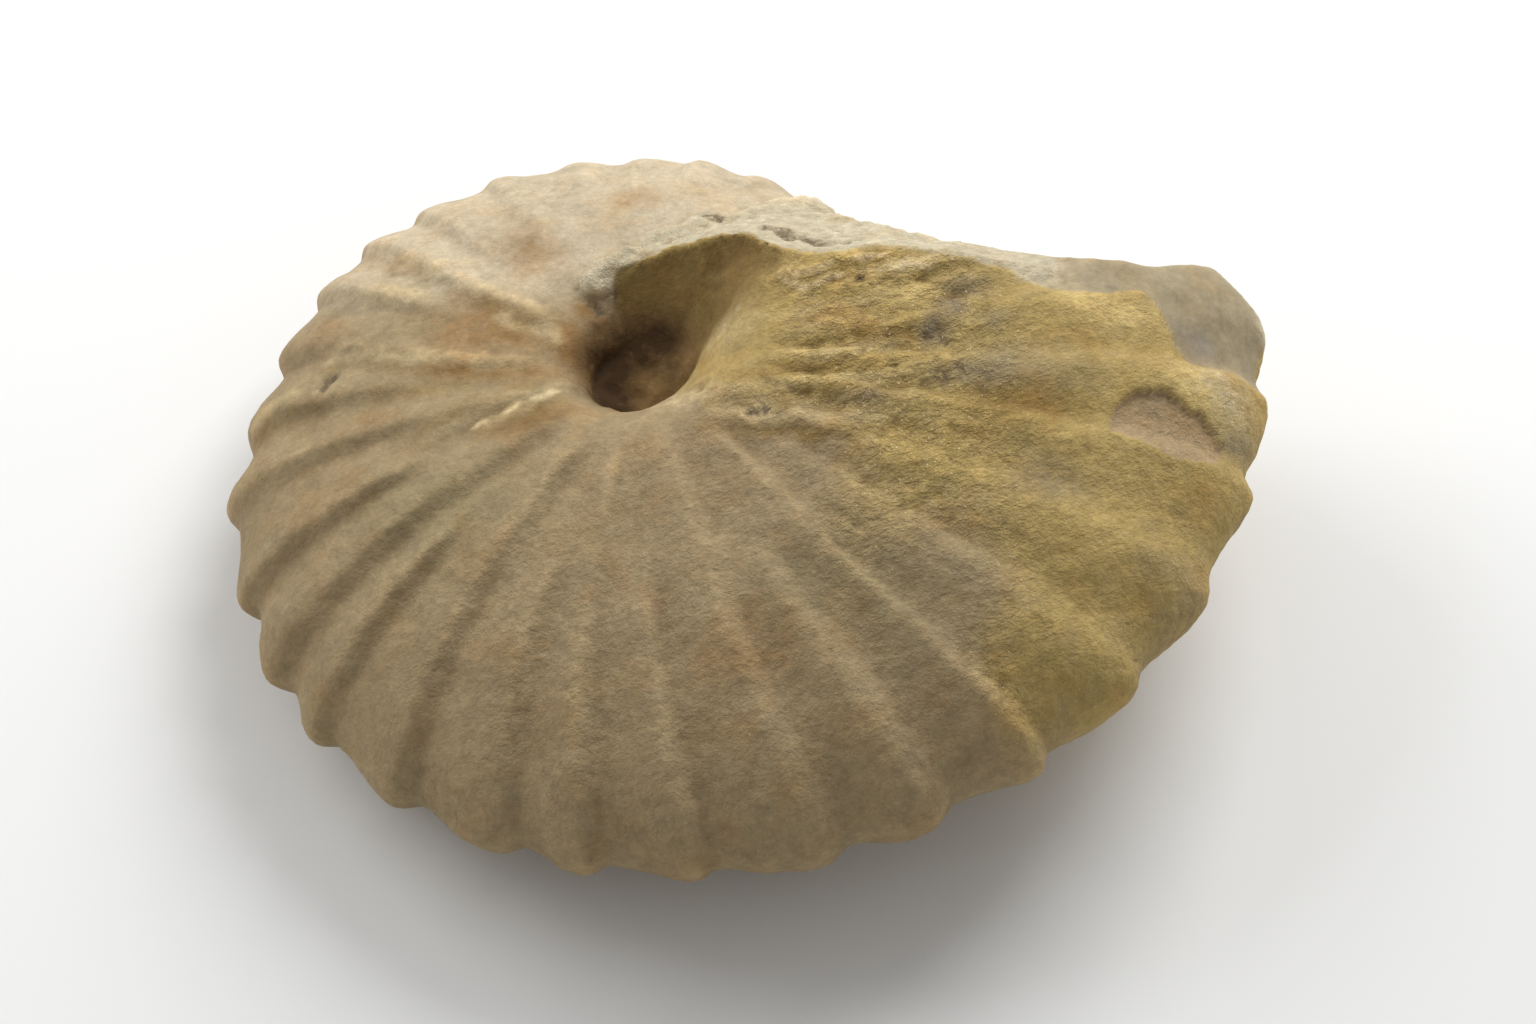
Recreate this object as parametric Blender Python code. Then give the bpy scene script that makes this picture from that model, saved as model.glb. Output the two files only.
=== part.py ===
"""A fossil ammonite lying on its flank: one piece of stone.

The shell is a ribbed, tightly coiled whorl with a small deep umbilicus on each flank. The last
whorl is broken off near the aperture, and pale matrix still fills the corner between its broken
edge and the older whorl behind it.

The solid is a sphere whose vertices are moved onto the fossil. Each vertex keeps its azimuth
round the coil's axis and its place along the whorl's section. The moving is done in the coil's
own frame, with the axis along Z and the plane of the coil at Z = 0.
"""

import math

import bmesh
import bpy
import numpy as np
from mathutils import Matrix, Vector, noise

MM = 0.001

# The coil. Its venter, the outer edge, is a logarithmic spiral that opens anticlockwise seen
# from above. A "turn angle" is in degrees from +X. It runs on past 360 for the last whorl's end,
# which lies over the start of the turn.
VENTER_RADIUS = 25.0 * MM  # from the axis to the venter, at turn angle 180
GROWTH_PER_TURN = 2.1
FULLNESS = [(0, 0.94), (50, 0.95), (80, 1.00), (115, 1.03), (140, 1.06), (154, 1.045), (165, 1.015),
            (176, 1.02), (190, 1.025), (270, 1.00), (335, 1.00), (355, 0.985), (368, 0.985), (400, 0.98)]
HALF_THICKNESS = 0.274  # of the venter's radius, at the flank's highest line
FLANK_BULGE = 2.3  # exponents of the flank's curve: larger is squarer
VENTER_ROUNDING = 1.75

# The umbilicus, the hollow round the axis. Its wall rises to the flank's highest line, the
# shoulder. The broken end of the last whorl opens it into a funnel. Radii are in millimetres.
HOLLOW_RADIUS = [(0, 2.0), (45, 3.1), (90, 4.4), (135, 4.4), (180, 3.4), (225, 2.2), (270, 1.6), (315, 1.5),
                 (360, 2.0), (405, 3.1), (450, 4.4), (495, 4.4), (540, 3.4)]
HOLLOW_FLOOR = 2.6 * MM  # height of its floor above the plane of the coil
HOLLOW_BOWL = 1.2 * MM  # how far the floor curves up to the wall
SHOULDER_RADIUS = [(0, 10.4), (55, 10.4), (90, 8.8), (105, 7.9), (120, 7.2), (135, 6.8), (150, 6.4),
                   (200, 6.2), (260, 5.6), (300, 5.7), (330, 6.8), (360, 8.2), (380, 9.4), (400, 10.4),
                   (415, 10.4), (450, 8.8), (480, 7.6), (540, 6.6)]
SHOULDER_TOP = [(0, 1.0), (395, 1.0), (405, 0.985), (430, 0.885), (450, 0.728), (480, 0.505), (500, 0.344),
                (540, 0.144)]  # share left of the whorl's thickness
WALL_CURVE = [(0, 0.80), (105, 0.80), (122, 1.6), (145, 2.6), (170, 2.8), (330, 2.8), (352, 2.7), (375, 2.6),
              (392, 2.4), (404, 1.9), (416, 1.2), (430, 0.85), (540, 0.80)]  # 1 is straight
WALL_SOFTNESS = [(0, 0.0), (150, 0.0), (170, 0.25), (310, 0.25), (370, 0.25), (390, 0.30), (410, 0.5),
                 (435, 0.2), (540, 0.1)]  # 1 rolls over gently at the shoulder

# The ribs.
RIBS_PER_TURN = 31
RIB_HEIGHT = [(0, 0.35), (92, 0.42), (120, 0.62), (150, 0.85), (200, 0.95), (310, 0.90), (370, 0.85),
              (400, 0.40)]  # crest above hollow at the venter, in millimetres
FLANK_RIBS = [(0, 0.12), (115, 0.18), (140, 0.28), (175, 0.34), (215, 0.52), (300, 0.45), (345, 0.30),
              (400, 0.26)]  # share of it left on the flank
RIB_SHIFT = [(139, 0.0), (150, -3.0), (162, -4.0), (176, -1.0), (190, 0.0), (345, 0.0),
             (356, -1.5)]  # degrees that a rib sits out of its even place, and that its inner end does
FLANK_SHIFT = [(115, 0.0), (135, 4.0), (150, 7.5), (165, 7.5), (180, 4.0), (200, 1.0), (225, 0.0)]
FIRST_RIB = 1.5  # turn angle
RIB_WANDER = 0.07  # of the gap between two ribs
RIB_FRONT = 0.32  # share of that gap taken by the rib's steep forward side
FORK_AT = (0.30, 0.55)  # share of the flank's width over which a rib forks in two
UNFORKED = (300.0, 335.0)  # turn angles over which the ribs stop forking
LEAN_AT_END = 10.0  # degrees that a rib leans forward over the flank of the last whorl's end

# The broken end of the last whorl, as points (x, y) on its upper side, in millimetres. The shell
# is whole up to SHELL_EDGE. From there matrix slopes down to FACE_EDGE, where the end face drops.
SHELL_EDGE = [(-2.1, 7.2), (-0.4, 8.1), (1.2, 8.35), (2.4, 8.3), (3.6, 8.15), (4.6, 8.0), (5.8, 7.6),
              (7.0, 6.9), (8.2, 6.1), (9.4, 5.4), (10.6, 5.0), (12.0, 5.1), (14.0, 5.7), (18.0, 5.2),
              (24.5, 4.6), (29.0, 4.6), (33.0, 5.6), (38.0, 2.0)]
FACE_EDGE = [(-5.0, 5.4), (-0.7, 9.9), (2.9, 12.3), (7.0, 13.8), (9.5, 13.8), (11.0, 12.9), (12.5, 11.8),
             (14.2, 10.7), (17.0, 8.8), (22.0, 7.2), (23.3, 6.95), (24.1, 6.6), (28.6, 6.4), (31.6, 7.3),
             (33.0, 8.0), (38.0, 5.4)]
FACE_EDGE_HEIGHT = [(-5.0, 4.4), (-0.7, 5.2), (2.9, 4.8), (7.0, 4.0), (9.5, 3.4), (11.0, 4.2), (12.5, 4.8),
                    (17.0, 6.2), (22.0, 7.0), (28.0, 6.8), (33.0, 5.6), (38.0, 2.8)]
END_SPAN = (10.0, 36.0)  # azimuths over which the mesh steps down from the last whorl to the first
FACE_SLOPE = 0.15  # how far the end face leans out for each unit that it drops
UNDERSIDE_SHIFT = 1.4 * MM  # the break on the under side lies this much farther back
CORNER_CUT = ((33.1, 7.8), (37.3, 3.5))  # the end's outer corner is knocked off along this line
BREAK_LUMP = 3.0 * MM  # size and height of the lumps of broken matrix
BREAK_DEPTH = 0.5 * MM

# Where the shell has flaked off the upper side of the last whorl's end, as outlines of (x, y).
MOULD = [(15.5, 12.0), (15.8, 5.6), (17.4, 4.9), (19.6, 4.7), (21.6, 4.2), (22.8, 3.4), (23.6, 2.8),
         (24.8, 2.6), (28.9, 3.5), (29.7, 3.1), (30.2, 1.9), (30.7, 0.7), (31.3, -0.6), (34.1, -0.4),
         (45.0, -0.8), (45.0, 12.0)]
MOULD_START = (15.5, 21.0)  # millimetres of x over which it reaches its full depth
MOULD_DEPTH = 0.34 * MM
FLAKE_PIT = [(26.8, -5.6), (27.4, -4.4), (28.5, -3.6), (29.9, -3.3), (31.8, -4.1), (33.0, -5.4), (32.6, -7.0),
             (30.4, -7.6), (28.2, -6.8), (26.6, -6.4)]
FLAKE_DEPTH = 0.45 * MM
FLAKE_EDGE = 0.4 * MM  # width over which the surface steps down

# How it lies.
ROLL = 7.0  # degrees that the last whorl's thick end lifts the coil's +X side
COIL_CENTRE = Vector((-4.87, 4.64, 8.20)) * MM  # over the middle of the space that the fossil takes

COLUMNS = 5 * RIBS_PER_TURN  # five columns of faces to a rib
ROWS = 32
GUIDE_HOLLOW = 2.6 * MM  # radii where the mesh's rows cross the hollow's floor, its wall and the shoulder
GUIDE_WALL = 4.4 * MM
GUIDE_SHOULDER = 6.6 * MM
CORE_RADIUS = 9.0 * MM  # a ring inside the whorl, from which its surface is looked for
REACH = 45.0 * MM
HALVINGS = 24
EVENINGS = 2  # smoothing passes over the broken end and the funnel, out to a radius
EVENED_TO = 12.5 * MM

STONE = (0.33, 0.24, 0.11)
STONE_ROUGHNESS = 0.85


def along(points, x):
    """Reads a hand-drawn line of points at x."""
    xs, ys = zip(*points)
    return np.interp(x, xs, ys)


def softly(points, turn):
    """As along, with the corners of the line rounded off over a few degrees."""
    steps = ((-9.0, 1.0), (-4.5, 2.0), (0.0, 3.0), (4.5, 2.0), (9.0, 1.0))
    return sum(weight * along(points, turn + step) for step, weight in steps) / 9.0


def smoothstep(low, high, value):
    share = np.clip((value - low) / (high - low), 0.0, 1.0)
    return share * share * (3.0 - 2.0 * share)


def within(outline, x, y, edge):
    """1 inside a closed outline in millimetres and 0 outside it, stepping over a width."""
    inside_it = np.zeros(x.shape, bool)
    distance = np.full(x.shape, 1.0)
    for (x0, y0), (x1, y1) in zip(outline, outline[1:] + outline[:1]):
        x0, y0, x1, y1 = x0 * MM, y0 * MM, x1 * MM, y1 * MM
        share = ((x - x0) * (x1 - x0) + (y - y0) * (y1 - y0)) / ((x1 - x0) ** 2 + (y1 - y0) ** 2)
        share = np.clip(share, 0.0, 1.0)
        distance = np.minimum(distance, np.hypot(x - x0 - share * (x1 - x0), y - y0 - share * (y1 - y0)))
        if y0 != y1:
            crosses = (y0 > y) != (y1 > y)
            inside_it ^= crosses & (x < x0 + (y - y0) * (x1 - x0) / (y1 - y0))
    return smoothstep(-0.5 * edge, 0.5 * edge, np.where(inside_it, distance, -distance))


def venter_radius(turn):
    return VENTER_RADIUS * GROWTH_PER_TURN ** ((turn - 180.0) / 360.0) * along(FULLNESS, turn)


def lean(turn, across):
    """Degrees by which a rib has moved forward at a share of the way across the flank."""
    return LEAN_AT_END * np.clip((turn - 180.0) / 180.0, 0.0, 1.0) * across


def crest(phase):
    """Rib profile: 1 on whole phases, then a steep drop and a gentle rise to the next."""
    past = phase % 1.0
    front = 0.5 + 0.5 * np.cos(math.pi * past / RIB_FRONT)
    back = 0.5 - 0.5 * np.cos(math.pi * (past - RIB_FRONT) / (1.0 - RIB_FRONT))
    return np.where(past < RIB_FRONT, front, back)


def rib(turn, across):
    """Height of the ribs, from 0 to 1. Inner ribs fork in two on the way out, except near the end."""
    moved = along(RIB_SHIFT, turn) + along(FLANK_SHIFT, turn) * (1.0 - np.clip(across, 0.0, 1.0))
    phase = (turn - FIRST_RIB - moved - lean(turn, across)) * RIBS_PER_TURN / 360.0
    phase = phase + RIB_WANDER * (np.sin(phase * 1.7) + 0.7 * np.sin(phase * 4.3 + 1.0))
    outer = crest(phase)
    inner = crest(phase / 2.0)
    forked = np.maximum(smoothstep(*FORK_AT, across), smoothstep(*UNFORKED, turn))
    fade = smoothstep(-0.02, 0.12, across)
    return fade * (inner + (outer - inner) * forked)


def flank_height(turn, radius):
    """Half the whorl's thickness at a distance from the axis, or -1 past its venter."""
    plain = venter_radius(turn)
    high = softly(SHOULDER_RADIUS, turn) * MM
    top = HALF_THICKNESS * plain * softly(SHOULDER_TOP, turn)
    tall = along(RIB_HEIGHT, turn) * MM
    swell = rib(turn, (radius - high) / (plain - high)) * tall
    venter = plain + swell - 0.5 * tall
    share = np.clip((radius - high) / (venter - high), 0.0, 1.0)
    flank = top * (1.0 - share**FLANK_BULGE) ** (1.0 / VENTER_ROUNDING)
    flank += along(FLANK_RIBS, turn) * swell * (1.0 - share**6)
    hollow = softly(HOLLOW_RADIUS, turn) * MM
    inward = np.clip((high - radius) / (high - hollow), 0.0, 1.0)
    curve = softly(WALL_CURVE, turn)
    climb = (1.0 - inward**curve) ** (1.0 / curve)
    climb += (smoothstep(0.0, 1.0, 1.0 - inward) - climb) * softly(WALL_SOFTNESS, turn)
    floor = HOLLOW_FLOOR + HOLLOW_BOWL * np.minimum(radius / hollow, 1.0) ** 2
    wall = floor + (top - floor) * climb
    return np.where(radius < venter, np.where(radius < high, wall, flank), -1.0)


def matrix_height(x, y):
    """Top of the matrix that slopes down beyond the shell's edge: unlimited before the edge."""
    start, stop = along(SHELL_EDGE, x / MM) * MM, along(FACE_EDGE, x / MM) * MM
    edge = flank_height(np.degrees(np.arctan2(start, x)) + 360.0, np.hypot(x, start))
    share = (y - start) / np.maximum(stop - start, 0.4 * MM)
    slope = edge + (along(FACE_EDGE_HEIGHT, x / MM) * MM - edge) * np.clip(share, 0.0, 1.0)
    return np.where(y < start, REACH, slope)


def in_last_whorl_end(x, y, z, turn, radius):
    """Whether points are in the part of the last whorl that lies over the start of the turn."""
    (x0, y0), (x1, y1) = CORNER_CUT
    before_corner = (x / MM - x0) * (y0 - y1) + (y / MM - y0) * (x1 - x0) < 0.0
    y = y - UNDERSIDE_SHIFT * smoothstep(0.0, 4.0 * MM, -z)
    drop = np.maximum(along(FACE_EDGE_HEIGHT, x / MM) * MM - np.abs(z), 0.0)
    before_face = y < along(FACE_EDGE, x / MM) * MM + FACE_SLOPE * drop
    kept = before_face & before_corner & (np.abs(z) < matrix_height(x, y)) & (x > SHELL_EDGE[0][0] * MM)
    return kept & (np.abs(z) < flank_height(turn + 360.0, radius))


def inside(x, y, z):
    radius = np.hypot(x, y)
    turn = np.degrees(np.arctan2(y, x)) % 360.0
    flaked = MOULD_DEPTH * within(MOULD, x, y, FLAKE_EDGE) * smoothstep(*MOULD_START, x / MM)
    flaked += FLAKE_DEPTH * within(FLAKE_PIT, x, y, FLAKE_EDGE)
    z = z + np.where(z > 0.0, flaked, 0.0)
    own = np.abs(z) < flank_height(turn, radius)
    return own | ((turn < 180.0) & in_last_whorl_end(x, y, z, turn, radius))


def section(share, outer):
    """Guide points (radius, height) down a section: 0 on the upper axis, 1 on the lower one."""
    down = np.minimum(share, 1.0 - share) * 2.0
    top = HALF_THICKNESS * outer
    marks = [0.0, 0.09, 0.20, 0.32]
    angle = np.clip((down - marks[3]) / (1.0 - marks[3]), 0.0, 1.0) * math.pi / 2.0
    inner = np.interp(down, marks, [0.0, GUIDE_HOLLOW, GUIDE_WALL, GUIDE_SHOULDER])
    radius = np.where(down > marks[3], GUIDE_SHOULDER + (outer - GUIDE_SHOULDER) * np.sin(angle), inner)
    rise = np.interp(down, marks, [0.0, 0.0, 0.72, 1.0])
    floor = np.interp(down, marks, [HOLLOW_FLOOR, HOLLOW_FLOOR, 0.0, 0.0])
    height = np.where(down > marks[3], top * np.cos(angle), floor + top * rise)
    return radius, np.where(share > 0.5, -height, height)


def guide(azimuth):
    """Venter radius and forward lean that the mesh's columns follow, eased over the broken end."""
    eased = smoothstep(*END_SPAN, azimuth)
    last, first = azimuth + 360.0 * (azimuth < 180.0), azimuth
    outer = venter_radius(last) + (venter_radius(first) - venter_radius(last)) * eased * (azimuth < 180.0)
    return outer, lean(last, 1.0) * (1.0 - eased * (azimuth < 180.0)) + along(RIB_SHIFT, last)


def surface(azimuth, share):
    """Points on the fossil, in the coil's frame, for azimuths in degrees and shares of a section."""
    outer, outer_lean = guide(azimuth)
    radius, height = section(share, outer)
    across = np.clip((radius - GUIDE_SHOULDER) / (outer - GUIDE_SHOULDER), 0.0, 1.0)
    turn = np.radians(azimuth + outer_lean * across)
    cosine, sine = np.cos(turn), np.sin(turn)
    out, up = radius - CORE_RADIUS, height
    length = np.hypot(out, up)
    out, up = out / length, up / length
    near = np.zeros_like(turn)
    far = np.where(out < 0.0, np.minimum(REACH, CORE_RADIUS / np.maximum(-out, 1e-9)), REACH)
    for _ in range(HALVINGS):
        middle = (near + far) / 2.0
        r = CORE_RADIUS + middle * out
        solid = inside(r * cosine, r * sine, middle * up)
        near, far = np.where(solid, middle, near), np.where(solid, far, middle)
    r = CORE_RADIUS + near * out
    return np.stack([r * cosine, r * sine, near * up], axis=1)


def roughened(points):
    """Adds the uneven surface of broken matrix beyond the shell's edge."""
    x, y, z = points.T
    broken = (y > along(SHELL_EDGE, x / MM) * MM) & (x > SHELL_EDGE[0][0] * MM)
    turn = np.degrees(np.arctan2(y, x))
    broken &= np.abs(z) > flank_height(turn, np.hypot(x, y)) + 0.1 * MM
    for i in np.flatnonzero(broken):
        place = Vector(points[i])
        push = noise.noise(place / BREAK_LUMP) + 0.5 * noise.noise(place / BREAK_LUMP * 2.3)
        points[i, 1] += BREAK_DEPTH * push
        points[i, 2] += BREAK_DEPTH * push * 0.6
    return points


def evened(body, points):
    """Smooths the steps that the mesh's columns leave along the break and the funnel."""
    x, y, _ = points.T
    radius, azimuth = np.hypot(x, y), np.degrees(np.arctan2(y, x))
    broken = (y > along(SHELL_EDGE, x / MM) * MM - 1.5 * MM) & (x > SHELL_EDGE[0][0] * MM) & (azimuth > 0.0)
    funnel = (radius > GUIDE_HOLLOW) & (radius < EVENED_TO) & (azimuth > -6.0) & (azimuth < 135.0)
    broken &= radius < venter_radius(azimuth + 360.0) - MM
    uneven = [body.verts[i] for i in np.flatnonzero(broken | funnel)]
    for _ in range(EVENINGS):
        bmesh.ops.smooth_vert(body, verts=uneven, factor=0.5,
                              use_axis_x=True, use_axis_y=True, use_axis_z=True)


def build_fossil():
    body = bmesh.new()
    bmesh.ops.create_uvsphere(body, u_segments=COLUMNS, v_segments=ROWS, radius=1.0)
    start = np.array([v.co for v in body.verts])
    azimuth = (np.degrees(np.arctan2(start[:, 1], start[:, 0])) + FIRST_RIB) % 360.0
    share = np.arccos(np.clip(start[:, 2], -1.0, 1.0)) / math.pi
    points = roughened(surface(azimuth, share))
    for vertex, point in zip(body.verts, points):
        vertex.co = point
    body.verts.ensure_lookup_table()
    evened(body, points)
    lie = Matrix.Translation(COIL_CENTRE) @ Matrix.Rotation(math.radians(-ROLL), 4, "Y")
    for vertex in body.verts:
        vertex.co = lie @ vertex.co
        vertex.co.z = max(vertex.co.z, 0.0)  # worn flat where it rests
    mesh = bpy.data.meshes.new("ammonite")
    body.to_mesh(mesh)
    body.free()
    return mesh


def stone():
    material = bpy.data.materials.new("tan_stone")
    material.use_nodes = True
    shader = material.node_tree.nodes["Principled BSDF"]
    shader.inputs["Base Color"].default_value = (*STONE, 1.0)
    shader.inputs["Roughness"].default_value = STONE_ROUGHNESS
    return material


def main():
    for leftover in list(bpy.data.objects):
        bpy.data.objects.remove(leftover)
    collection = bpy.data.collections.new("fossil_ammonite")
    bpy.context.scene.collection.children.link(collection)
    ammonite = bpy.data.objects.new("ammonite", build_fossil())
    ammonite.data.materials.append(stone())
    ammonite.data.shade_smooth()
    ammonite.data.set_sharp_from_angle(angle=math.radians(35.0))
    collection.objects.link(ammonite)


main()
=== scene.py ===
"""A fossil ammonite lying on its flank, finished as a weathered sandy stone.

The fossil is worked in the coil's own frame, in millimetres: the axis along Z, the plane of the
coil at Z = 0. A "turn angle" is in degrees from +X, anticlockwise seen from above. It runs on past
360 for the last whorl's end, which lies over the start of the turn. Tables of (turn angle, value)
are read in straight steps between their rows.
"""
import math
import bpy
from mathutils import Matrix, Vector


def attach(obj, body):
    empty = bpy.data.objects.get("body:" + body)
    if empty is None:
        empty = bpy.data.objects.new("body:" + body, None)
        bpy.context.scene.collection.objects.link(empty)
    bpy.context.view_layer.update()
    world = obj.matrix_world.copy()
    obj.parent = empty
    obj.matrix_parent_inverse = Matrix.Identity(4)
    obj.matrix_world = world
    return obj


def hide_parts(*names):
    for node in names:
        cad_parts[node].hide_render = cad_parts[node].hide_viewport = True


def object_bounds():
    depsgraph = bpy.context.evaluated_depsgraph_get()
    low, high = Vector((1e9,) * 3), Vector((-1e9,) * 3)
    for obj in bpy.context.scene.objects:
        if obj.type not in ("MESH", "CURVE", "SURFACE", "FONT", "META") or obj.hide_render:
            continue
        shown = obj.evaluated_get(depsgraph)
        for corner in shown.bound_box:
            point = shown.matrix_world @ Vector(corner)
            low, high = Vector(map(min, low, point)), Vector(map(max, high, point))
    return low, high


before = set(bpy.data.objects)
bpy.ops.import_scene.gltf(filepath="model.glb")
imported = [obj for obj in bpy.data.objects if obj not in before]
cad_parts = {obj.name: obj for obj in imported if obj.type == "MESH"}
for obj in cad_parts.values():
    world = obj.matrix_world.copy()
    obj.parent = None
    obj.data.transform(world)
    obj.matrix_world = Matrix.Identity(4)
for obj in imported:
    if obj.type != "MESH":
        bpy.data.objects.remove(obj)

from types import SimpleNamespace

import bmesh
import bpy
import numpy as np
from mathutils import Matrix, Vector, noise

solid_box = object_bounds()

MM = 0.001

# The coil.
VENTER_RADIUS = 24.92
GROWTH_PER_TURN = 2.1
FULLNESS = [(0, 0.94), (50, 0.95), (80, 1.00), (115, 1.03), (140, 1.06), (154, 1.045), (165, 1.015),
            (176, 1.02), (190, 1.025), (270, 1.00), (335, 1.00), (355, 0.985), (368, 0.985), (400, 0.98)]
HALF_THICKNESS = 0.267
FLANK_BULGE = 2.3
VENTER_ROUNDING = 1.75

# The umbilicus, and the funnel that the broken whorl opens over it.
HOLLOW_RADIUS = [(0, 2.0), (45, 3.1), (90, 4.4), (135, 4.4), (180, 3.4), (225, 2.2), (270, 1.6), (315, 1.5),
                 (360, 2.0), (405, 3.1), (450, 4.4), (495, 4.4), (540, 3.4)]
HOLLOW_FLOOR = 2.6
SHOULDER_RADIUS = [(0, 10.4), (55, 10.4), (90, 8.8), (105, 7.9), (120, 7.2), (135, 6.8), (150, 6.4),
                   (200, 6.2), (260, 5.6), (300, 5.7), (330, 6.8), (360, 8.2), (380, 9.4), (400, 10.4),
                   (415, 10.4), (450, 8.8), (480, 7.6), (540, 6.6)]
SHOULDER_TOP = [(0, 1.0), (395, 1.0), (405, 0.985), (430, 0.885), (450, 0.728), (480, 0.505), (500, 0.344),
                (540, 0.144)]
WALL_CURVE = [(0, 0.80), (105, 0.80), (122, 1.6), (145, 2.6), (170, 2.8), (330, 2.8), (352, 2.7), (375, 2.6),
              (392, 2.2), (404, 1.6), (416, 1.1), (430, 0.85), (540, 0.80)]
WALL_SOFTNESS = [(0, 0.0), (150, 0.0), (170, 0.25), (310, 0.25), (370, 0.25), (390, 0.30),
                 (410, 0.5), (435, 0.2), (540, 0.1)]
HOLLOW_BOWL = 1.2

# The ribs.
RIBS_PER_TURN = 31
RIB_HEIGHT = [(0, 0.35), (92, 0.42), (120, 0.62), (150, 0.85), (200, 0.95), (310, 0.90), (370, 0.85),
              (400, 0.40)]
FLANK_RIBS = [(0, 0.12), (115, 0.18), (140, 0.28), (175, 0.34), (215, 0.52), (300, 0.45), (345, 0.30),
              (400, 0.26)]
RIB_SHIFT = [(139, 0.0), (150, -3.0), (162, -4.0), (176, -1.0), (190, 0.0), (345, 0.0), (356, -1.5)]
FLANK_SHIFT = [(115, 0.0), (135, 4.0), (150, 7.5), (165, 7.5), (180, 4.0), (200, 1.0), (225, 0.0)]
FIRST_RIB = 1.5
RIB_WANDER = 0.07
RIB_FRONT = 0.32
FORK_AT = (0.30, 0.55)
UNFORKED = (300.0, 335.0)
LEAN_AT_END = 10.0

# The broken end of the last whorl.
SHELL_EDGE = [(-2.1, 7.2), (-0.4, 8.1), (1.2, 8.35), (2.4, 8.3), (3.6, 8.15), (4.6, 8.0), (5.8, 7.6),
              (7.0, 6.9), (8.2, 6.1), (9.4, 5.4), (10.6, 5.0), (12.0, 5.1), (14.0, 5.7), (18.0, 5.2),
              (24.5, 4.6), (29.0, 4.6), (33.0, 5.6), (38.0, 2.0)]
FACE_EDGE = [(-5.0, 5.4), (-0.7, 9.9), (2.9, 12.3), (7.0, 13.8), (9.5, 13.8), (11.0, 12.9), (12.5, 11.8),
             (14.2, 10.7), (17.0, 8.8), (22.0, 7.2), (23.3, 6.95), (24.1, 6.6), (28.6, 6.4), (31.6, 7.3),
             (33.0, 8.0), (38.0, 5.4)]
FACE_EDGE_HEIGHT = [(-5.0, 4.4), (-0.7, 5.2), (2.9, 4.8), (7.0, 4.0), (9.5, 3.4), (11.0, 4.2), (12.5, 4.8),
                    (17.0, 6.2), (22.0, 7.0), (28.0, 6.8), (33.0, 5.6), (38.0, 2.8)]
END_SPAN = (10.0, 36.0)
FACE_SLOPE = 0.15
BITE_SIZE = 1.3
BITE_DEPTH = 0.35
UNDERSIDE_SHIFT = 1.4
CORNER_CUT = ((33.1, 7.8), (37.3, 3.5))

# How it lies.
ROLL = 7.0
COIL_CENTRE = Vector((-4.87, 4.64, 8.20)) * MM

# How finely it is worked.
COLUMNS = 12 * RIBS_PER_TURN
ROWS = 130
CORE_RADIUS = 9.0
FIRST_SHOULDER = 6.6
REACH = 45.0
RAY_HALVINGS = 24
GRID = 0.297
NEAR = 0.3
NEAR_HALVINGS = 9
FORM_SPIKE, RELIEF_SPIKE = 0.25, 0.16
SPIKE_PASSES = 8
CAVITY_PASSES = 6
MASK_PASSES = 4
SOFT_MASKS = ("golden", "chalky", "funnel", "gritty", "stain", "dark_stain_and_shade", "crest_highlight")

# How worn its edges are: a joint's half width, and how often its points are evened out.
JOINT_WIDTH = 0.8
JOINT_PASSES = 40
BRINK_WEAR = 0.7
FAR_END_PASSES = 6
FAR_END = (21.0, 25.0)
MATRIX_PASSES = 12
CREASE_PASSES = 24

# Where the areas of the surface start and end: heights, slopes, x, turn angles and radii.
UPPER_SIDE = (-0.6, 0.8)
FACING_UP = (0.0, 0.35)
SHELF_FROM = (20.0, 25.0)
MOULD_FROM = (22.5, 26.0)
GOLDEN_FROM = (300.0, 340.0)
FUNNEL_FROM = (18.0, 42.0)
BEND_FROM, BEND_WITHIN = (318.0, 345.0), (11.0, 6.5)
BRINK_WIDTH = 0.30
SEAM_WIDTH, SEAM_DEPTH = 0.35, 0.07
FLAKE_DEPTH, FLAKE_SLOPE, FLAKE_TOP = 0.42, 0.08, -3.4
NARROW_GROOVE = 0.5
PIT_DEPTH = 0.16

# What has flaked away or sticks out on the upper side, as lines and outlines of (x, y).
CRUST_EDGE = [(15.5, 12.0), (15.8, 5.6), (17.4, 4.9), (19.6, 4.7), (21.6, 4.2), (22.8, 3.4), (23.6, 2.8),
              (24.8, 2.6), (26.9, 3.0), (28.9, 3.6), (29.7, 3.1), (30.2, 1.9), (30.7, 0.7), (31.3, -0.6),
              (32.7, -0.6), (34.1, -0.4), (45.0, -0.8), (45.0, 12.0)]
BARED_START = (15.5, 21.0)
BARED_DEPTH = 0.34
CHALK_ENDS = ((-3.4, 7.2, 5.8), (-1.0, 8.8, 6.4))
CHALK_RADIUS = 0.8
FLAKE_PIT = [(26.8, -5.6), (27.2, -4.7), (27.4, -4.4), (28.5, -3.6), (29.9, -3.3), (30.3, -3.5), (30.8, -3.8),
             (31.8, -4.1), (33.0, -5.4), (32.6, -7.0), (30.4, -7.6), (28.2, -6.8), (26.6, -6.4)]
MATRIX_SMEAR = [(-4.4, 6.6), (-3.6, 8.1), (-2.2, 9.1), (-0.7, 10.4), (0.7, 11.5), (2.8, 12.7), (4.9, 12.9),
                (6.8, 14.3), (8.6, 15.6), (9.6, 19.0), (20.0, 19.0), (30.0, 10.0), (20.0, 4.0), (5.0, 4.0),
                (-2.0, 6.2)]
CHALK_LUMP = [(-4.3, 7.3), (-3.8, 8.3), (-2.8, 9.3), (-1.0, 10.2), (0.4, 10.2), (-0.5, 8.9), (-1.5, 8.2),
              (-2.3, 7.5), (-3.2, 6.8)]
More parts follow.
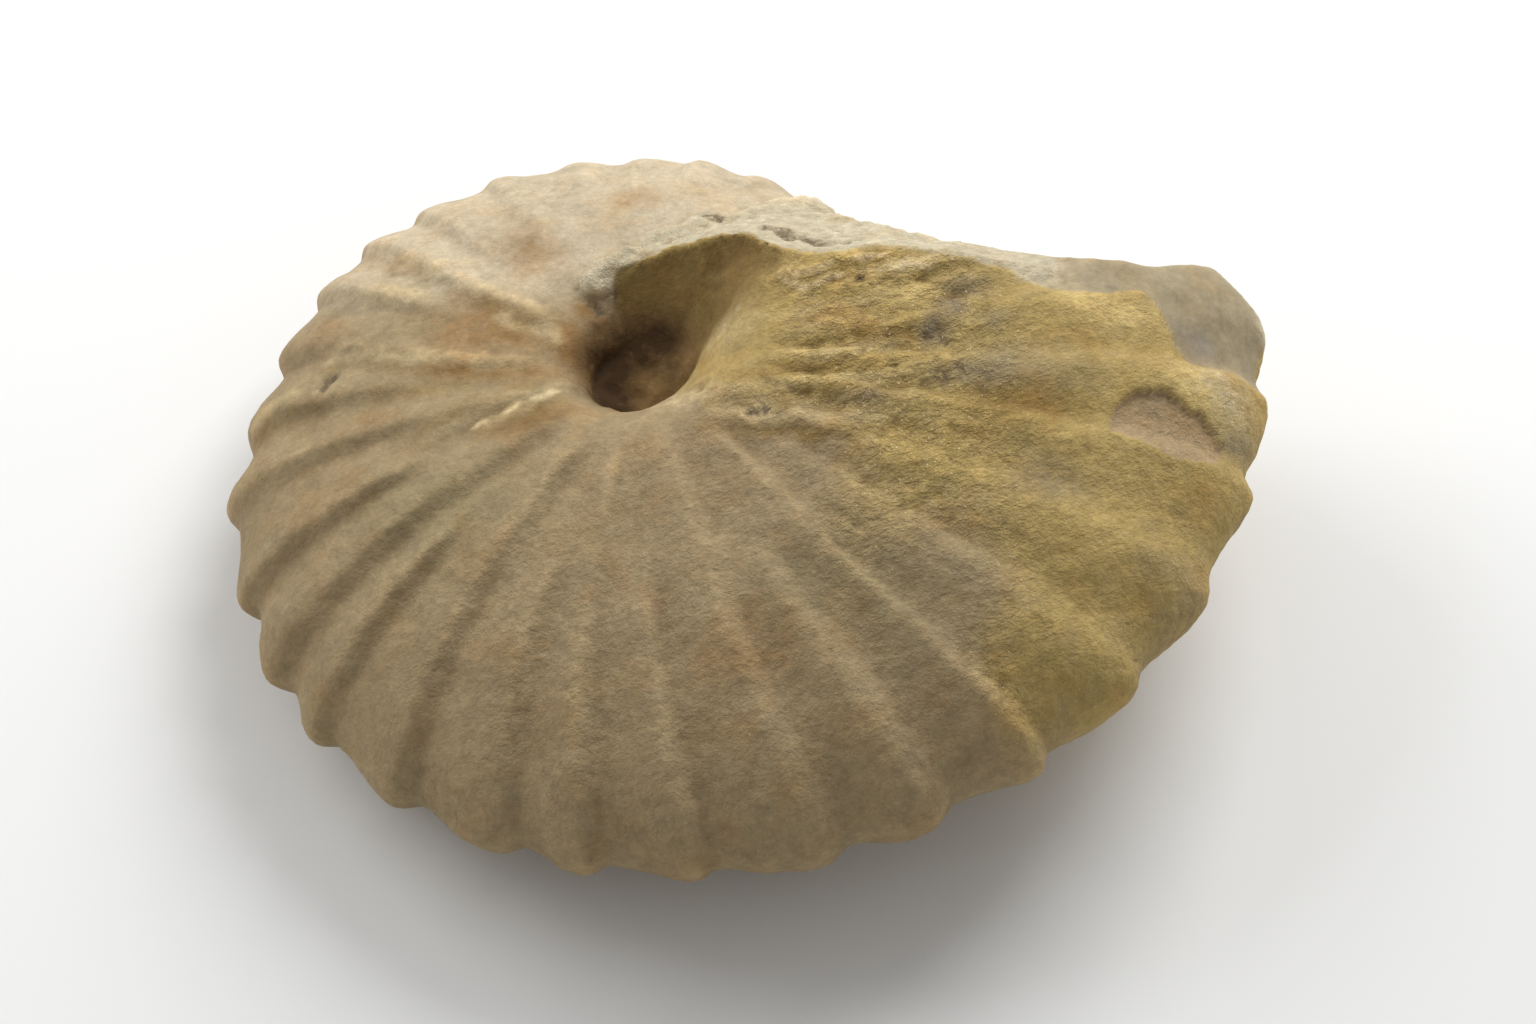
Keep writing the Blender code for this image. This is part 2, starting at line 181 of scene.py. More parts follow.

# Ridges on the worn flank: line, width of the back, width of the front, height, painted highlight on
# the crest and painted shade below the front. The front is on the line's right.
RIDGES = [
    ([(-20.7, 4.9), (-18.4, 4.2), (-15.5, 3.2), (-13.0, 2.3), (-9.4, 1.4), (-5.8, 0.9), (-4.2, 0.8)],
     0.7, 1.1, 0.32, 0.7, 0.35),
    ([(-17.1, 12.8), (-13.6, 10.4), (-11.2, 8.2), (-8.3, 6.4), (-5.9, 4.8), (-4.4, 3.4)], 0.5, 0.9, 0.24,
     0.7, 0.35),
    ([(-9.6, 5.4), (-7.4, 4.2), (-5.6, 3.2), (-4.4, 2.4)], 0.25, 0.6, 0.12, 0.7, 0.35),
    ([(-4.0, 0.1), (-6.3, -1.3), (-9.2, -2.1), (-10.9, -3.1), (-14.5, -4.2)], 0.30, 1.2, 0.22, 0.5, 0.35),
    ([(-6.3, -1.9), (-8.6, -3.0), (-10.2, -4.1)], 0.2, 0.8, 0.14, 0.5, 0.35),
    ([(-25.0, 1.6), (-22.5, 2.0), (-20.6, 2.1)], 0.9, 0.9, 0.30, 0.7, 0.35),
    ([(5.4, 1.7), (8.1, 0.9), (11.3, 1.5), (14.0, 1.9), (16.1, 2.7)], 0.55, 1.0, 0.22, 0.5, 0.50),
    ([(4.0, 1.0), (6.1, -0.2), (8.1, -0.2), (9.6, -0.1), (12.2, 0.2), (15.0, 0.6)], 0.55, 0.9, 0.16,
     0.5, 0.50),
    ([(3.9, -1.0), (4.8, -1.7), (6.9, -1.6), (9.8, -1.9), (12.7, -1.6), (16.0, -1.2)], 0.55, 0.9, 0.16,
     0.5, 0.50),
    ([(3.4, -2.6), (4.8, -3.4), (6.9, -3.5), (9.8, -3.7), (13.2, -3.5), (17.0, -3.2)], 0.50, 0.9, 0.17,
     0.5, 0.50),
    ([(2.8, -3.9), (5.0, -5.2), (8.0, -5.9), (12.0, -6.2), (17.0, -6.0)], 0.45, 0.9, 0.18, 0.5, 0.50),
]

# Broken edges of thin shell layers: line and thickness. The layer is on the line's left.
FLAKED_LAYERS = [
    ([(7.6, 4.2), (8.3, 3.4), (9.6, 2.7), (10.2, 2.7), (11.0, 3.3), (12.1, 3.6), (12.9, 3.2)], 0.28),
    ([(8.3, 4.4), (9.0, 3.7), (10.2, 3.7), (11.0, 4.1), (12.3, 4.4), (13.4, 4.8), (15.0, 4.7)], 0.22),
    ([(14.2, 3.4), (15.6, 4.1), (17.0, 3.9), (18.3, 4.4), (20.2, 4.6)], 0.20),
    ([(-4.9, -0.7), (-6.1, -1.5), (-7.6, -1.9), (-8.6, -2.6), (-9.9, -3.1), (-10.9, -4.0)], 0.14),
]
CRUMBLED = [(6.7, 9.3), (7.6, 9.8), (8.6, 9.5), (9.4, 8.5), (11.0, 7.7), (12.9, 7.5), (12.7, 6.8),
            (10.6, 6.6), (8.8, 7.3), (7.4, 8.2)]

# Grooves and chips: line, width and depth.
GROOVES = [
    ([(3.2, 7.0), (5.0, 6.6), (6.8, 5.8), (8.4, 4.8)], 1.30, 0.55),
    ([(2.6, 12.6), (3.4, 12.5), (4.4, 12.4)], 0.32, 0.16),
    ([(-3.9, 5.9), (-3.3, 5.7), (-2.8, 5.3)], 0.25, 0.16),
    ([(6.0, -5.3), (6.8, -5.4), (7.6, -5.3)], 0.20, 0.20),
    ([(12.5, 3.3), (13.0, 3.2)], 0.28, 0.40),
    ([(-19.0, 3.1), (-19.6, 2.4), (-19.9, 1.7)], 0.45, 0.34),
    ([(-20.4, 1.2), (-20.6, -0.6), (-20.0, -2.2)], 1.30, 0.30),
]

# Stains and painted shade on the upper side, as soft ovals: strength, middle, size and turn in degrees.
STAINS_AND_SHADE = {
    "rust": [
        (0.9, (-9.4, 1.2), (5.4, 1.4), 172.0), (0.8, (-9.8, 4.2), (5.4, 2.6), 160.0),
        (0.6, (-7.4, 10.6), (3.6, 2.4), 140.0), (0.5, (-15.5, 11.2), (2.6, 1.2), 150.0),
        (0.4, (-19.7, 7.2), (3.0, 2.0), 150.0), (0.45, (-10.4, 6.5), (3.5, 1.4), 160.0),
        (0.6, (-7.0, -3.2), (3.8, 1.5), 20.0), (0.45, (-1.0, 14.6), (2.2, 1.6), 0.0),
        (0.4, (-16.5, -1.4), (2.2, 1.2), 170.0), (0.5, (11.5, 6.4), (3.0, 0.8), 5.0),
        (0.5, (6.0, -20.0), (5.0, 3.0), 20.0)],
    "rim": [
        (1.0, (-4.6, 2.6), (1.3, 2.8), 8.0), (0.8, (-3.8, 5.2), (1.4, 1.2), 0.0)],
    # Olive stain; the ovals at (-10.2, 0.1) and (-7.4, -2.8) are painted shade below ribs.
    "olive": [
        (0.4, (-17.0, 0.6), (5.0, 3.0), 170.0), (0.8, (-14.5, 5.4), (5.0, 1.6), 165.0),
        (0.8, (-7.4, -2.8), (4.6, 2.0), 20.0), (0.6, (-10.2, 0.1), (4.2, 0.9), 174.0),
        (0.6, (-20.0, 8.6), (2.6, 1.4), 150.0), (0.8, (22.0, -2.5), (5.0, 2.0), 0.0),
        (0.8, (34.0, -4.7), (2.5, 1.5), 0.0), (0.9, (-12.0, -9.0), (7.0, 5.0), 0.0),
        (0.7, (12.0, -17.0), (9.0, 5.0), 0.0)],
    "grey": [
        (0.8, (17.0, -0.2), (1.3, 2.0), -15.0), (0.7, (18.9, 2.6), (2.2, 1.4), 10.0),
        (0.8, (18.0, 1.4), (1.4, 1.6), -20.0), (0.6, (20.5, 0.4), (1.6, 1.0), 0.0),
        (0.6, (19.0, -3.4), (4.6, 1.2), 0.0), (0.6, (13.5, -5.0), (3.4, 1.0), 0.0),
        (0.6, (23.0, -10.0), (3.0, 2.0), 0.0)],
    "dusty": [
        (0.8, (-15.5, 8.4), (3.2, 0.9), -22.0), (0.8, (15.5, 4.2), (2.8, 0.7), 15.0),
        (0.5, (4.6, 2.2), (2.4, 3.2), 35.0), (0.9, (33.4, -2.4), (2.4, 1.6), -40.0),
        (0.7, (24.0, 3.6), (3.4, 0.8), -4.0), (0.5, (2.5, -3.2), (3.0, 1.2), -10.0)],
    "ochre": [
        (1.0, (27.0, 1.6), (3.6, 1.3), -5.0), (0.7, (15.0, 2.2), (3.0, 0.9), 10.0),
        (0.8, (31.5, -2.6), (3.0, 1.6), -30.0)],
    "slate": [
        (1.0, (31.9, 1.1), (1.6, 1.1), -50.0)],
    # Brown stain; the ovals at (21.4, -5.0), (8.8, -2.6), (-7.0, -3.0) and (-12.8, 0.0) are painted shade
    # below ribs.
    "brown_and_shade": [
        (1.0, (21.4, -5.0), (4.6, 2.0), 0.0), (0.7, (8.8, -2.6), (2.8, 1.0), 0.0),
        (0.6, (14.5, -0.6), (3.0, 0.8), 0.0), (0.4, (-7.0, -3.0), (3.8, 1.6), 20.0),
        (0.4, (-12.8, 0.0), (3.5, 0.8), 174.0), (0.8, (5.6, 5.2), (3.2, 2.0), 10.0),
        (0.45, (6.4, 2.6), (2.5, 1.2), 0.0)],
}
HOLE_MIDDLE = (-0.7, 2.0)
HOLE_SIZE = (3.5, 4.2)
HOLE_SHADE = [(-2.6, 0.2), (-2.9, 2.0), (-2.7, 3.4), (-1.6, 4.2), (0.2, 4.3)]
SHADE_WIDTH = 1.6
BLEACHED_FROM, BLEACHED_TO = 175.0, 135.0
LAST_TURN = 324.0

# The camera and the studio.
CAMERA_RISE = 54.0
CAMERA_DISTANCE = 0.300
VIEW_PIXELS = (1536.0, 1024.0)
PIXELS_PER_METRE = 16850.0
AXIS_PIXEL = (664.0, 440.0)
SENSOR_WIDTH = 36.0
LIGHTS = [  # name, place, width, power
    ("window", (0.16, 0.28, 0.26), 0.25, 1.5),
    ("side_window", (-0.26, 0.16, 0.20), 0.25, 0.6),
]
LIGHT_AIM = Vector((0.0, 0.0, 0.01))
NEAREST_SEEN = 0.01
STUDIO_GLOW = 0.40
FLOOR_HALF_WIDTH = 1.5
FLOOR_SHADE = (0.86, 0.86, 0.85, 1.0)
FLOOR_ROUGHNESS = 0.9


def along(points, x):
    """Reads a table of (x, value) rows in straight steps."""
    xs, ys = zip(*points)
    return np.interp(x, xs, ys)


def softly(points, turn):
    """As along, with the corners of the line rounded off over a few degrees."""
    steps = ((-9.0, 1.0), (-4.5, 2.0), (0.0, 3.0), (4.5, 2.0), (9.0, 1.0))
    return sum(weight * along(points, turn + step) for step, weight in steps) / 9.0


def smoothstep(low, high, value):
    """0 at low and 1 at high, with a soft start and stop; low may be the larger."""
    share = np.clip((value - low) / (high - low), 0.0, 1.0)
    return share * share * (3.0 - 2.0 * share)


def venter_radius(turn):
    """How far the outer edge lies from the coil's axis."""
    return VENTER_RADIUS * GROWTH_PER_TURN ** ((turn - 180.0) / 360.0) * along(FULLNESS, turn)


def lean(turn, across):
    """How far the ribs bend back, in degrees, from the shoulder (0) to the venter (1)."""
    return LEAN_AT_END * np.clip((turn - 180.0) / 180.0, 0.0, 1.0) * across


def crest(phase):
    """One rib's profile, steeper on its front than on its back."""
    past = phase % 1.0
    front = 0.5 + 0.5 * np.cos(math.pi * past / RIB_FRONT)
    back = 0.5 - 0.5 * np.cos(math.pi * (past - RIB_FRONT) / (1.0 - RIB_FRONT))
    return np.where(past < RIB_FRONT, front, back)


def rib(turn, across):
    """The ribs' height from 0 to 1; every second rib starts where the others fork."""
    moved = along(FLANK_SHIFT, turn) * (1.0 - np.clip(across, 0.0, 1.0))
    moved = moved + along(RIB_SHIFT, turn)
    phase = (turn - FIRST_RIB - moved - lean(turn, across)) * RIBS_PER_TURN / 360.0
    phase = phase + RIB_WANDER * (np.sin(phase * 1.7) + 0.7 * np.sin(phase * 4.3 + 1.0))
    outer = crest(phase)
    inner = crest(phase / 2.0)
    forked = np.maximum(smoothstep(*FORK_AT, across), smoothstep(*UNFORKED, turn))
    fade = smoothstep(-0.02, 0.12, across)
    return fade * (inner + (outer - inner) * forked)


def flank_height(turn, radius):
    """Half the whorl's thickness at a radius: the flank, and the wall down into the umbilicus."""
    plain = venter_radius(turn)
    high = softly(SHOULDER_RADIUS, turn)
    top = HALF_THICKNESS * plain * softly(SHOULDER_TOP, turn)
    tall = along(RIB_HEIGHT, turn)
    swell = rib(turn, (radius - high) / (plain - high)) * tall
    venter = plain + swell - 0.5 * tall
    share = np.clip((radius - high) / (venter - high), 0.0, 1.0)
    flank = top * (1.0 - share**FLANK_BULGE) ** (1.0 / VENTER_ROUNDING)
    flank += along(FLANK_RIBS, turn) * swell * (1.0 - share**6)
    hollow = softly(HOLLOW_RADIUS, turn)
    inward = np.clip((high - radius) / (high - hollow), 0.0, 1.0)
    curve = softly(WALL_CURVE, turn)
    climb = (1.0 - inward**curve) ** (1.0 / curve)
    climb += (smoothstep(0.0, 1.0, 1.0 - inward) - climb) * softly(WALL_SOFTNESS, turn)
    floor = HOLLOW_FLOOR + HOLLOW_BOWL * np.minimum(radius / hollow, 1.0) ** 2
    wall = floor + (top - floor) * climb
    return np.where(radius < venter, np.where(radius < high, wall, flank), -1.0)


def matrix_height(x, y):
    """Half the thickness left where the shell is broken away, from its edge out to the end face."""
    start, stop = along(SHELL_EDGE, x), along(FACE_EDGE, x)
    edge = flank_height(np.degrees(np.arctan2(start, x)) + 360.0, np.hypot(x, start))
    share = (y - start) / np.maximum(stop - start, 0.4)
    slope = edge + (along(FACE_EDGE_HEIGHT, x) - edge) * np.clip(share, 0.0, 1.0)
    return np.where(y < start, REACH, slope)


def in_last_whorl_end(x, y, z, turn, radius):
    """Whether points are in the last whorl's broken end, which lies over the start of the turn."""
    (x0, y0), (x1, y1) = CORNER_CUT
    before_corner = (x - x0) * (y0 - y1) + (y - y0) * (x1 - x0) < 0.0
    y = y - UNDERSIDE_SHIFT * smoothstep(0.0, 4.0, -z)
    drop = np.maximum(along(FACE_EDGE_HEIGHT, x) - np.abs(z), 0.0)
    before_face = y < along(FACE_EDGE, x) + FACE_SLOPE * drop
    kept = before_face & before_corner & (np.abs(z) < matrix_height(x, y)) & (x > SHELL_EDGE[0][0])
    return kept & (np.abs(z) < flank_height(turn + 360.0, radius))


def in_chalk_lump(x, y, z):
    """Whether points are in the crumb of chalk at the left end of the broken rim."""
    (x0, y0, z0), (x1, y1, z1) = CHALK_ENDS
    length = (x1 - x0) ** 2 + (y1 - y0) ** 2 + (z1 - z0) ** 2
    share = ((x - x0) * (x1 - x0) + (y - y0) * (y1 - y0) + (z - z0) * (z1 - z0)) / length
    share = np.clip(share, 0.0, 1.0)
    dx, dy, dz = x - x0 - share * (x1 - x0), y - y0 - share * (y1 - y0), z - z0 - share * (z1 - z0)
    return dx * dx + dy * dy + dz * dz < CHALK_RADIUS**2


def inside(x, y, z):
    """Whether points are in the stone."""
    radius = np.hypot(x, y)
    turn = np.degrees(np.arctan2(y, x)) % 360.0
    bared = (x > BARED_START[0]) & (y > -2.0) & (z > 0.0)
    z = z.copy()
    z[bared] += BARED_DEPTH * within(CRUST_EDGE, x[bared], y[bared], 0.3) * smoothstep(*BARED_START, x[bared])
    own = (np.abs(z) < flank_height(turn, radius)) | in_chalk_lump(x, y, z)
    return own | ((turn < 180.0) & in_last_whorl_end(x, y, z, turn, radius))


def section(share, outer):
    """Radius and height of the first form's section, from the upper hollow (0) to the lower (1)."""
    down = np.minimum(share, 1.0 - share) * 2.0
    top = HALF_THICKNESS * outer
    marks = [0.0, 0.09, 0.20, 0.32]
    angle = np.clip((down - marks[3]) / (1.0 - marks[3]), 0.0, 1.0) * math.pi / 2.0
    inner = np.interp(down, marks, [0.0, 2.6, 4.4, FIRST_SHOULDER])
    outward = FIRST_SHOULDER + (outer - FIRST_SHOULDER) * np.sin(angle)
    radius = np.where(down > marks[3], outward, inner)
    rise = np.interp(down, marks, [0.0, 0.0, 0.72, 1.0])
    floor = np.interp(down, marks, [HOLLOW_FLOOR, HOLLOW_FLOOR, 0.0, 0.0])
    height = np.where(down > marks[3], top * np.cos(angle), floor + top * rise)
    return radius, np.where(share > 0.5, -height, height)


def settled(cosine, sine, out, up, near, far):
    """Moves points onto the fossil's surface along rays from a ring inside the whorl."""
    for _ in range(RAY_HALVINGS):
        middle = (near + far) / 2.0
        radius = CORE_RADIUS + middle * out
        solid = inside(radius * cosine, radius * sine, middle * up)
        near, far = np.where(solid, middle, near), np.where(solid, far, middle)
    radius = CORE_RADIUS + near * out
    return np.stack([radius * cosine, radius * sine, near * up], axis=1)


def rough_out(azimuth, share):
    """Points of the first form, for azimuths in degrees and shares of a section."""
    eased = smoothstep(*END_SPAN, azimuth) * (azimuth < 180.0)
    last = azimuth + 360.0 * (azimuth < 180.0)
    outer = venter_radius(last) + (venter_radius(azimuth) - venter_radius(last)) * eased
    radius, height = section(share, outer)
    across = np.clip((radius - FIRST_SHOULDER) / (outer - FIRST_SHOULDER), 0.0, 1.0)
    turn = np.radians(azimuth + lean(last, 1.0) * (1.0 - eased) * across)
    out, up = radius - CORE_RADIUS, height
    length = np.hypot(out, up)
    out, up = out / length, up / length
    far = np.where(out < 0.0, np.minimum(REACH, CORE_RADIUS / np.maximum(-out, 1e-9)), REACH)
    return settled(np.cos(turn), np.sin(turn), out, up, np.zeros_like(turn), far)


def refined(points, normals):
    """Puts points that lie near the surface exactly on it, moving them along their normals."""
    near, far = points - NEAR * normals, points + NEAR * normals
    held = inside(*near.T) & ~inside(*far.T)
    for _ in range(NEAR_HALVINGS):
        middle = (near + far) / 2.0
        solid = inside(*middle.T)[:, None]
        near, far = np.where(solid, middle, near), np.where(solid, far, middle)
    return np.where(held[:, None], near, points)


def sampled(places):
    """Smooth noise from about -1 to 1, with lumps one unit wide."""
    return np.array([noise.noise(Vector(p)) for p in places]) * 1.6


def grain(points, size, seed=0.0):
    """Smooth noise from about -1 to 1 with lumps of a size in millimetres."""
    return sampled(points / size + seed)


def ridged(points, size, seed=0.0):
    """Noise with sharp crests where grain changes sign."""
    return 1.0 - 2.0 * np.abs(grain(points, size, seed))


def drawn_out(across, outward, wide, long, seed=0.0):
    """Smooth noise from about -1 to 1, drawn out into streaks that run away from the coil's axis."""
    return sampled(np.stack([across / wide, outward / long, np.full(across.shape, seed)], axis=1))


def stepped(value, steps):
    """Turns a smooth value into small steps, as where thin layers have broken away one by one."""
    whole = np.floor(value * steps)
    return (whole + smoothstep(0.30, 0.60, value * steps - whole)) / steps


def read(mesh):
    """The mesh's points, one row each."""
    flat = np.empty(len(mesh.vertices) * 3)
    mesh.vertices.foreach_get("co", flat)
    return flat.reshape(-1, 3)


def read_normals(mesh):
    """The directions in which the mesh faces at its points."""
    flat = np.empty(len(mesh.vertices) * 3)
    mesh.vertex_normals.foreach_get("vector", flat)
    return flat.reshape(-1, 3)


def write(mesh, points):
    """Moves the mesh's points."""
    mesh.vertices.foreach_set("co", points.ravel())
    mesh.update()


def line_distance(x, y, line):
    """Distance to a line of points, which side of it, and how far along it from 0 to 1."""
    best = np.full(x.shape, 1e9)
    side = np.zeros(x.shape)
    place = np.zeros(x.shape)
    steps = [math.hypot(b[0] - a[0], b[1] - a[1]) for a, b in zip(line, line[1:])]
    whole, gone = sum(steps), 0.0
    for (x0, y0), (x1, y1), step in zip(line, line[1:], steps):
        share = np.clip(((x - x0) * (x1 - x0) + (y - y0) * (y1 - y0)) / step**2, 0.0, 1.0)
        away = np.hypot(x - x0 - share * (x1 - x0), y - y0 - share * (y1 - y0))
        nearer = away < best
        best = np.where(nearer, away, best)
        side = np.where(nearer, np.sign((x1 - x0) * (y - y0) - (y1 - y0) * (x - x0)), side)
        place = np.where(nearer, (gone + share * step) / whole, place)
        gone += step
    return best, side, place


def within(outline, x, y, edge):
    """1 inside a closed outline and 0 outside it, stepping over a width."""
    enclosed = np.zeros(x.shape, bool)
    for (x0, y0), (x1, y1) in zip(outline, outline[1:] + outline[:1]):
        if y0 != y1:
            enclosed ^= ((y0 > y) != (y1 > y)) & (x < x0 + (y - y0) * (x1 - x0) / (y1 - y0))
    away, _, _ = line_distance(x, y, outline + outline[:1])
    return smoothstep(-0.5 * edge, 0.5 * edge, np.where(enclosed, away, -away))


def spot(x, y, middle, size, angle=0.0):
    """A soft oval patch: 1 at its middle, fading out at its size."""
    turn = math.radians(angle)
    u = (x - middle[0]) * math.cos(turn) + (y - middle[1]) * math.sin(turn)
    v = -(x - middle[0]) * math.sin(turn) + (y - middle[1]) * math.cos(turn)
    return np.exp(-1.6 * ((u / size[0]) ** 2 + (v / size[1]) ** 2))


def softened(mesh, values, times):
    """Evens values out between neighbouring points of a mesh."""
    ends = np.empty(len(mesh.edges) * 2, dtype=np.int32)
    mesh.edges.foreach_get("vertices", ends)
    first, second = ends.reshape(-1, 2).T
    count = np.bincount(ends, minlength=len(values))
    for _ in range(times):
        around = np.bincount(first, values[second], len(values))
        around += np.bincount(second, values[first], len(values))
        values = 0.5 * values + 0.5 * around / count
    return values


def without_spikes(mesh, points, reach):
    """Draws in the points that stand out from their neighbours by more than a reach in millimetres."""
    evened = np.stack([softened(mesh, axis, 2) for axis in points.T], axis=1)
    away = np.linalg.norm(points - evened, axis=1)
    return points + (evened - points) * smoothstep(0.6 * reach, reach, away)[:, None]


def make_form():
    """The fossil's form as an even mesh, in the coil's frame."""
    body = bmesh.new()
    bmesh.ops.create_uvsphere(body, u_segments=COLUMNS, v_segments=ROWS, radius=1.0)
    start = np.array([v.co for v in body.verts])
    azimuth = np.degrees(np.arctan2(start[:, 1], start[:, 0])) % 360.0
    share = np.arccos(np.clip(start[:, 2], -1.0, 1.0)) / math.pi
    for vertex, point in zip(body.verts, rough_out(azimuth, share)):
        vertex.co = point
    mesh = bpy.data.meshes.new("form")
    body.to_mesh(mesh)
    body.free()
    form = bpy.data.objects.new("form", mesh)
    bpy.context.scene.collection.objects.link(form)
    even = form.modifiers.new("even", "REMESH")
    even.mode = "VOXEL"
    even.voxel_size = GRID
    done = bpy.data.meshes.new_from_object(form.evaluated_get(bpy.context.evaluated_depsgraph_get()))
    bpy.data.objects.remove(form)
    points = without_spikes(done, refined(read(done), read_normals(done)), FORM_SPIKE)
    write(done, worn_edges(done, points))
    return done


def worn_edges(mesh, points):
    """Rounds the joint of matrix and whorl, the brink of the end face and the whorl's far end."""
    x, y, z = points.T
    rounded = np.stack([softened(mesh, axis, JOINT_PASSES) for axis in points.T], axis=1)
    apart = matrix_height(x, y) - flank_height(np.degrees(np.arctan2(y, x)) % 360.0, np.hypot(x, y))
    joint = np.exp(-((apart / JOINT_WIDTH) ** 2)) * smoothstep(0.8, 1.8, y - along(SHELL_EDGE, x))
    joint *= (z > 0.0) * smoothstep(-1.5, 0.5, x) * smoothstep(12.0, 10.0, x)
    brink = np.exp(-((y - along(FACE_EDGE, x)) ** 2)) * smoothstep(18.0, 22.0, x) * (z > 3.0)
    joint = np.maximum(joint, BRINK_WEAR * brink)
    points = points + (rounded - points) * joint[:, None]
    worn = np.stack([softened(mesh, axis, FAR_END_PASSES) for axis in points.T], axis=1)
    return points + (worn - points) * smoothstep(*FAR_END, x)[:, None]


def shell_edge(x):
    """The broken edge of the shell, with small bites out of it."""
    bites = np.array([noise.noise(Vector((v / BITE_SIZE, 3.1, 0.0))) for v in x])
    return along(SHELL_EDGE, x) + BITE_DEPTH * bites


def survey(mesh):
    """Where the mesh's points lie on the fossil, and masks of the parts that weather differently."""
    points, normals = read(mesh), read_normals(mesh)
    x, y, z = points.T
    radius = np.hypot(x, y)
    azimuth = np.degrees(np.arctan2(y, x)) % 360.0
    top = smoothstep(*UPPER_SIDE, z) * smoothstep(*FACING_UP, normals[:, 2])
    wobble = grain(points, 0.9, 4.0) * 0.16 + grain(points, 0.4, 9.0) * 0.07
    ragged = (x + wobble, y + grain(points, 0.8, 17.0) * 0.16)

    end = (azimuth < 180.0) & (np.abs(z) > flank_height(azimuth, radius) + 0.12) & (x > SHELL_EDGE[0][0])
    turn = azimuth + 360.0 * end
    end = end.astype(float)
    past_edge = y - UNDERSIDE_SHIFT * smoothstep(0.0, 4.0, -z) - shell_edge(x)
    shelf = smoothstep(*SHELF_FROM, x + 3.0 * wobble) * smoothstep(0.35, 0.65, np.abs(normals[:, 2]))
    matrix = end * smoothstep(-0.10, 0.30, past_edge) * (1.0 - shelf)
    smeared = within(MATRIX_SMEAR, ragged[0] + 0.5 * wobble, ragged[1], 0.5) * (1.0 - end)
    smeared *= smoothstep(-4.0, -1.0, z)
    chalk = within(CHALK_LUMP, *ragged, 0.6) * smoothstep(*UPPER_SIDE, z)
    bared = within(CRUST_EDGE, *ragged, 0.22) * top
    mould = bared * smoothstep(*MOULD_FROM, x + 5.0 * wobble)
    matrix = np.maximum.reduce([matrix, chalk, smeared, bared - mould])
    flake = within(FLAKE_PIT, x + 0.5 * wobble, y + 0.5 * wobble, 0.14) * top
    lump = within(CHALK_LUMP, *ragged, 0.8) * smoothstep(-0.2, 0.4, normals[:, 2])
    # Where the darkening in hollows is cut back: the chalk lump and the ground around the flake pit.
    clean = np.maximum(lump, smoothstep(0.0, 0.25, within(FLAKE_PIT, x, y, 2.5)) * top)

    golden = smoothstep(*GOLDEN_FROM, turn + 14.0 * grain(points, 7.0, 2.0))
    golden *= (1.0 - matrix) * (1.0 - mould)
    funnel = smoothstep(*FUNNEL_FROM, azimuth) * end * (1.0 - matrix)
    bend = smoothstep(*BEND_FROM, turn) * smoothstep(*BEND_WITHIN, radius)
    gritty = np.clip(golden + 0.25 * smoothstep(190.0, 260.0, turn), 0.0, 1.0) * (1.0 - 0.75 * funnel)
    gritty *= (1.0 - 0.95 * bend) * (1.0 - 0.65 * smoothstep(17.0, 24.0, x))
    brink = np.exp(-(((past_edge + 0.05) / BRINK_WIDTH) ** 2)) * end * smoothstep(*FACING_UP, normals[:, 2])
    brink *= smoothstep(-3.0, -1.0, x) * smoothstep(14.0, 9.0, x) * smoothstep(3.0, 5.0, z)
    return SimpleNamespace(
        points=points, normals=normals, x=x, y=y, z=z, radius=radius, azimuth=azimuth, turn=turn, top=top,
        wobble=wobble, end=end, past_edge=past_edge, matrix=matrix, mould=mould, flake=flake, lump=lump,
        clean=clean, golden=golden, funnel=funnel, bend=bend, gritty=gritty, brink=brink)


def sand_relief(at):
    """Heights of the sandy skin: lumps, then wrinkles and broken layers that run with the ribs."""
    lift = 0.12 * grain(at.points, 7.0, 1.0) + 0.07 * grain(at.points, 3.0, 5.0) - 0.05
    lift += (0.035 + 0.035 * at.gritty) * grain(at.points, 1.3, 8.0)
    lift += (0.012 + 0.065 * at.gritty) * grain(at.points, 0.65, 11.0)
    across = np.clip((at.radius - 6.0) / 28.0, 0.0, 1.0)
    sweep = np.radians(at.turn - lean(at.turn, across) * 1.6) * 15.0
    outside_hollow = smoothstep(3.5, 8.0, at.radius)
    lift += 0.045 * at.gritty * drawn_out(sweep, at.radius, 0.85, 5.0) * outside_hollow
    broken = drawn_out(sweep, at.radius, 1.1, 2.2, 7.0) + 0.8 * at.wobble
    lift += 0.10 * at.gritty * stepped(broken, 4.0) * outside_hollow
    return lift + 0.06 * at.gritty * drawn_out(sweep, at.radius, 0.34, 1.6) * outside_hollow


def matrix_relief(mesh, at, lift):
    """The heights with the matrix's rough, flat faces in place of the sandy skin."""
    rough = 0.07 * ridged(at.points, 3.2, 3.0) + 0.09 * ridged(at.points, 1.3, 6.0)
    rough += 0.08 * grain(at.points, 0.6, 7.0)
    rough *= 1.0 - 0.85 * smoothstep(17.0, 23.0, at.x)
    bedded = at.matrix + (softened(mesh, at.matrix, MATRIX_PASSES) - at.matrix) * smoothstep(17.0, 21.0, at.x)
    sunken = 0.36 * softened(mesh, at.end, CREASE_PASSES)
    lift = lift * (1.0 - bedded) + bedded * (rough + 0.22 - sunken)
    seam = np.exp(-((at.past_edge / SEAM_WIDTH) ** 2)) * at.end * at.top
    return lift - SEAM_DEPTH * seam * smoothstep(3.0, 6.0, at.x) * smoothstep(17.0, 14.0, at.x)


